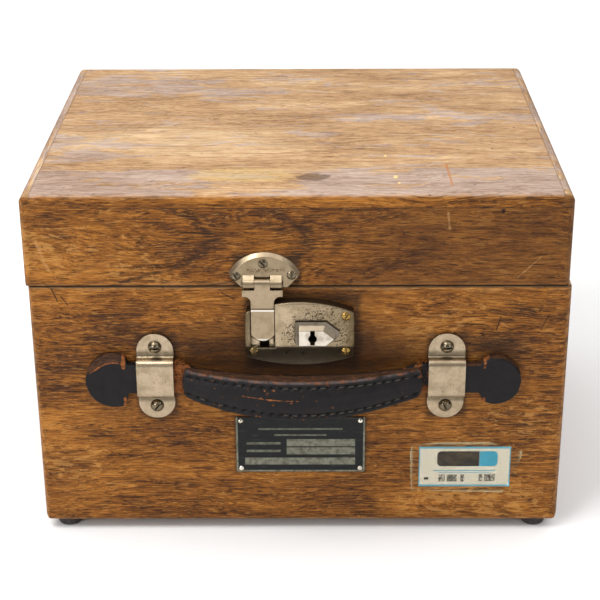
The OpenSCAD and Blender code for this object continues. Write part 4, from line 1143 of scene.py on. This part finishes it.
def fibres(side, material):
    """Frayed fibres that stand out of the raw strap between the cover and the loop."""
    rng = random.Random(17 + side)
    points, faces = [], []
    for _ in range(150 if side < 0 else 45):
        x = GRIP_X + side * rng.uniform(HALF + 0.3, HALF + 5.0)
        z = LOOP_Z + rng.choice((rng.uniform(-7.6, 7.8), 7.6, 7.9))
        on_edge = z > LOOP_Z + 7.5
        start = Vector(on_face(x, STRAP_BACK + STRAP_THICK - 0.2, z))
        if on_edge:
            start.y = FACE_Y - rng.uniform(1.0, STRAP_THICK)
        lean = Vector((rng.uniform(-0.7, 0.7), -rng.uniform(0.15, 0.8), rng.uniform(-0.3, 1.0)))
        if on_edge:
            lean = Vector((rng.uniform(-0.8, 0.8), -rng.uniform(0.0, 0.4), rng.uniform(0.4, 1.0)))
        tip = start + lean.normalized() * rng.uniform(0.8, 2.6)
        curl = start.lerp(tip, 0.5) + Vector([rng.uniform(-0.4, 0.4) for _ in range(3)])
        add_thread(points, faces, (start, curl, tip), (0.16, 0.13, 0.04), 4)
    return make_piece("strap_fibres_" + SIDES[side], points, faces, material, "raw_leather",
                      raw=[1.0] * len(points))


def stitches(side, material):
    """Waxed thread from hole to hole. On the left, and in the middle of the upper row, most
    of it has worn down into its groove."""
    rng = random.Random(29 + side)
    points, faces = [], []
    for row in (0, 1):
        for i in range(int((HALF - ROWS_END) / HOLE_PITCH)):
            lift = rng.uniform(-0.12, 0.05)
            if side < 0 or (row == 0 and i < 5):
                lift -= rng.choice((0.2, 0.7, 0.7))
            path = []
            for j in range(9):
                x = side * HOLE_PITCH * (i + 0.17 + 0.66 * j / 8)
                z = rows_at(x)[row] + rng.uniform(-0.04, 0.04) + 0.22 * (j / 8 - 0.5)
                dip = 0.8 * abs(2 * j / 8 - 1) ** 4
                path.append(Vector(on_face(GRIP_X + x, arc(x, *FRONT) - 0.12 + lift - dip, z)))
            add_thread(points, faces, path, (0.28,) + (0.40,) * 7 + (0.28,), 8)
    return make_piece("stitches_" + SIDES[side], points, faces, material, "black_leather")


# ---- the strap's two heads outside the loops

# the head's radius, how far out of the loop its middle and its shoulder are, and how much of
# its edge is skived
HEADS = {-1: (14.1, 20.2, 15.0, 0.9), 1: (12.6, 24.0, 18.2, 0.2)}
HEAD_VOXEL = 0.42


def head_outline(side, radius, middle, shoulder):
    """(x, z) round one end of the strap: its neck from inside the loop, then its head."""
    inner = LOOP_MIDDLES[0 if side < 0 else 1] - GRIP_X
    centre = (inner + side * middle, LOOP_Z - 1.2)
    outer = inner + side * shoulder
    opening = math.acos(min(abs(outer - centre[0]) / radius, 1))
    neck = [inner + (outer - inner) * (i + 1) / 9 for i in range(8)]
    angles = [math.pi - opening - (math.pi - opening) * i / 36 for i in range(73)]
    points = [(inner - side * 0.6, LOOP_Z + NECK_HALF)]
    points += [(x, LOOP_Z + 7.6) for x in neck]
    points += [(centre[0] + side * radius * math.cos(a), centre[1] + radius * math.sin(a))
               for a in angles]
    points += [(inner + outer - x, LOOP_Z - 7.6) for x in neck]
    points.append((inner - side * 0.6, LOOP_Z - NECK_HALF))
    return points, centre


def softened(name, points, faces):
    """A closed form filled with small voxels and smoothed: its points, their normals and its
    faces."""
    solid = add_object(name, points, faces)
    remesh = solid.modifiers.new("remesh", "REMESH")
    remesh.mode = "VOXEL"
    remesh.voxel_size = HEAD_VOXEL * MM
    remesh.adaptivity = 0.0
    soften = solid.modifiers.new("soften", "SMOOTH")
    soften.factor, soften.iterations = 0.5, 4
    graph = bpy.context.evaluated_depsgraph_get()
    fine = solid.evaluated_get(graph).to_mesh()
    spots = [tuple(c / MM for c in v.co) for v in fine.vertices]
    normals = [tuple(v.normal) for v in fine.vertices]
    fine_faces = [tuple(p.vertices) for p in fine.polygons]
    solid.evaluated_get(graph).to_mesh_clear()
    bpy.data.objects.remove(solid)
    return spots, normals, fine_faces


def strap_head(side, material):
    """A flat end of the strap with its edges skived and raw."""
    radius, middle, shoulder, skive = HEADS[side]
    rim, centre = head_outline(side, radius, middle, shoulder)
    count = len(rim)
    depths = (STRAP_BACK, STRAP_BACK + STRAP_THICK + 0.6)
    points = [on_face(GRIP_X + x, t, z) for t in depths for x, z in rim]
    faces = [tuple(range(count)), tuple(reversed(range(count, 2 * count)))]
    faces += [(j, j + count, (j + 1) % count + count, (j + 1) % count) for j in range(count)]
    name = SIDES[side]
    spots, normals, faces = softened("rough_" + name, points, faces)
    points, raws, tops = zip(*[
        head_relief(spot, normal, side, radius, centre, middle - shoulder, skive)
        for spot, normal in zip(spots, normals)])
    piece = make_piece("strap_head_" + name, points, faces, material, "black_leather",
                       raw=raws, top=tops)
    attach(piece, "strap_" + name)
    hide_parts("strap_end_" + name)


def head_relief(spot, normal, side, radius, centre, shoulder_in, skive):
    """Where a point of a head ends up, how raw it is and how brown. shoulder_in is how far the
    shoulders lie inward of the head's middle."""
    x, y, z = spot
    dx, dz = x - GRIP_X - centre[0], z - centre[1]
    t = FACE_Y - y
    outward = side * dx
    # the band along the top edge is cut down on a slant and shows bare leather
    edge = radius - math.hypot(dx, dz)
    band = skive * 4.2 * ease(dz, 2.0, 8.0) * ease(outward, -13, -5)
    slant = ease(edge, band + 0.2, max(band - 0.9, -0.5)) if band > 0.3 else 0.0
    if t > STRAP_BACK + 1.5:
        y += 1.7 * slant * min(1.0, max(0.0, 1 - edge / max(band, 0.1)) + 0.4)
    rise = 0.10 * cloud(spot, (5, 5, 5), 81) + 0.05 * cloud(spot, (1.6, 1.6, 1.6), 87)
    moved = (x + rise * normal[0], y + rise * normal[1], z + rise * normal[2])
    if outward < -shoulder_in - 0.6:
        return moved, 0.0, ease(normal[2], 0.3, 0.7) if side > 0 else 0.0
    shoulder = ease(outward, 2.5 - shoulder_in, 0.3 - shoulder_in)
    corner_up = shoulder * ease(dz, 5.5, 8.0) * (0.9 if side < 0 else 0.7)
    corner_low = shoulder * ease(-dz, 7.4, 9.2) * 0.8
    rim = ease(edge, 0.9, 0.1)
    if side < 0:
        thin = 0.5 * rim * ease(dz, 2, -2) + 0.75 * ease(abs(edge - band), 0.8, 0.1) * ease(band, 0.8, 1.6)
    else:
        inner_top = ease(outward, 0, -5) * ease(dz, 6, 9)
        inner_low = ease(outward, -1, -5) * ease(-dz, 6, 9)
        outer = ease(outward, 0.84 * radius, 0.95 * radius) * ease(abs(dz + 1), 7, 4)
        thin = 0.8 * rim * max(inner_top, inner_low, outer)
    sides = 0.3 * (1 - max(-normal[1], 0.0)) * ease(t, 4.4, 3.0)
    raw = max(0.30 * slant, corner_up, corner_low, thin, sides)
    return moved, raw, max(slant, 0.7 * rim * ease(dz, 0, 4))


def build_handle():
    black = leather_look("leather_cover")
    raw = leather_look("leather_strap", 0.05)
    flat = leather_look("leather_heads", -0.04)
    thread = thread_look()
    for side, end in ((-1, "strap_left"), (1, "strap_right")):
        cover = cover_half(side, black)
        strap = strap_half(side, raw)
        fuzz = fibres(side, raw)
        sewing = stitches(side, thread)
        for piece in (cover, strap, fuzz, sewing):
            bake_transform(piece)
        if side < 0:
            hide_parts("grip_cover", "grip_filler")
            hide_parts("grip_backing")
    for side in SIDES:
        strap_head(side, flat)


# ---------------------------------------------------------------- camera, light, floor

CAMERA_AT = (0.00719, -0.79245, 0.44012)
CAMERA_YAW = math.radians(-0.531)
CAMERA_PITCH = math.radians(24.196)
CAMERA_ROLL = math.radians(-0.315)
CAMERA_LENS = 94.72
FLOOR_HALF = 6.0
WORLD_STRENGTH = 0.36

# name, place, the point it faces, size in metres, watts
LAMPS = (
    ("ceiling", (0, 1.0, 2.6), (0, 1.0, 0), (6, 6), 140.0),
    ("key", (-0.38, -0.42, 0.9), (0, -0.1, 0.1), (0.5, 0.35), 4.6),
    ("front_left", (-0.8, -1.1, 0.6), (0, 0, 0.1), (0.5, 0.5), 5.4),
    ("front_right", (0.9, -0.9, 0.5), (0, 0, 0.1), (0.5, 0.5), 1.5),
)


def add_camera():
    data = bpy.data.cameras.new("camera")
    data.lens, data.sensor_width = CAMERA_LENS, 36
    data.clip_start, data.clip_end = 0.01, 50
    camera = bpy.data.objects.new("camera", data)
    bpy.context.scene.collection.objects.link(camera)
    forward = Vector((math.sin(CAMERA_YAW) * math.cos(CAMERA_PITCH),
                      math.cos(CAMERA_YAW) * math.cos(CAMERA_PITCH), -math.sin(CAMERA_PITCH)))
    right = forward.cross(Vector((0, 0, 1))).normalized()
    up = right.cross(forward)
    tilted_right = right * math.cos(CAMERA_ROLL) + up * math.sin(CAMERA_ROLL)
    tilted_up = up * math.cos(CAMERA_ROLL) - right * math.sin(CAMERA_ROLL)
    turn = Matrix((tilted_right, tilted_up, -forward)).transposed()
    camera.matrix_world = Matrix.Translation(CAMERA_AT) @ turn.to_4x4()
    bpy.context.scene.camera = camera


def add_lamp(name, at, look_at, size, watts):
    data = bpy.data.lights.new(name, "AREA")
    data.shape, data.size, data.size_y = "RECTANGLE", size[0], size[1]
    data.energy = watts
    lamp = bpy.data.objects.new(name, data)
    bpy.context.scene.collection.objects.link(lamp)
    lamp.location = at
    lamp.rotation_euler = (Vector(look_at) - Vector(at)).to_track_quat("-Z", "Y").to_euler()


def add_floor():
    half = FLOOR_HALF / MM
    floor = add_object("floor", [(-half, -half, 0), (half, -half, 0), (half, half, 0),
                                 (-half, half, 0)], [(0, 1, 2, 3)])
    k = Look("floor_paper")
    colour = k.mix(k.noise(90, 1, 2), (0.86, 0.86, 0.86, 1), (0.90, 0.90, 0.90, 1))
    floor.data.materials.append(k.finish(colour, 0.8))


def add_studio():
    world = bpy.data.worlds.new("studio")
    world.use_nodes = True
    background = world.node_tree.nodes["Background"]
    background.inputs["Color"].default_value = (1, 1, 1, 1)
    background.inputs["Strength"].default_value = WORLD_STRENGTH
    bpy.context.scene.world = world
    for lamp in LAMPS:
        add_lamp(*lamp)
    add_floor()
    bpy.context.scene.view_settings.view_transform = "Standard"


# ---------------------------------------------------------------- the whole scene

for board, settings in BOARDS.items():
    dress(board, oak(board, *settings))
paint_metal()
dress("nameplate", nameplate_look())
dress("calibration_label", label_look())
dress("label_tape", film_look())
dress("feet", rubber_look())
build_handle()
add_camera()
add_studio()
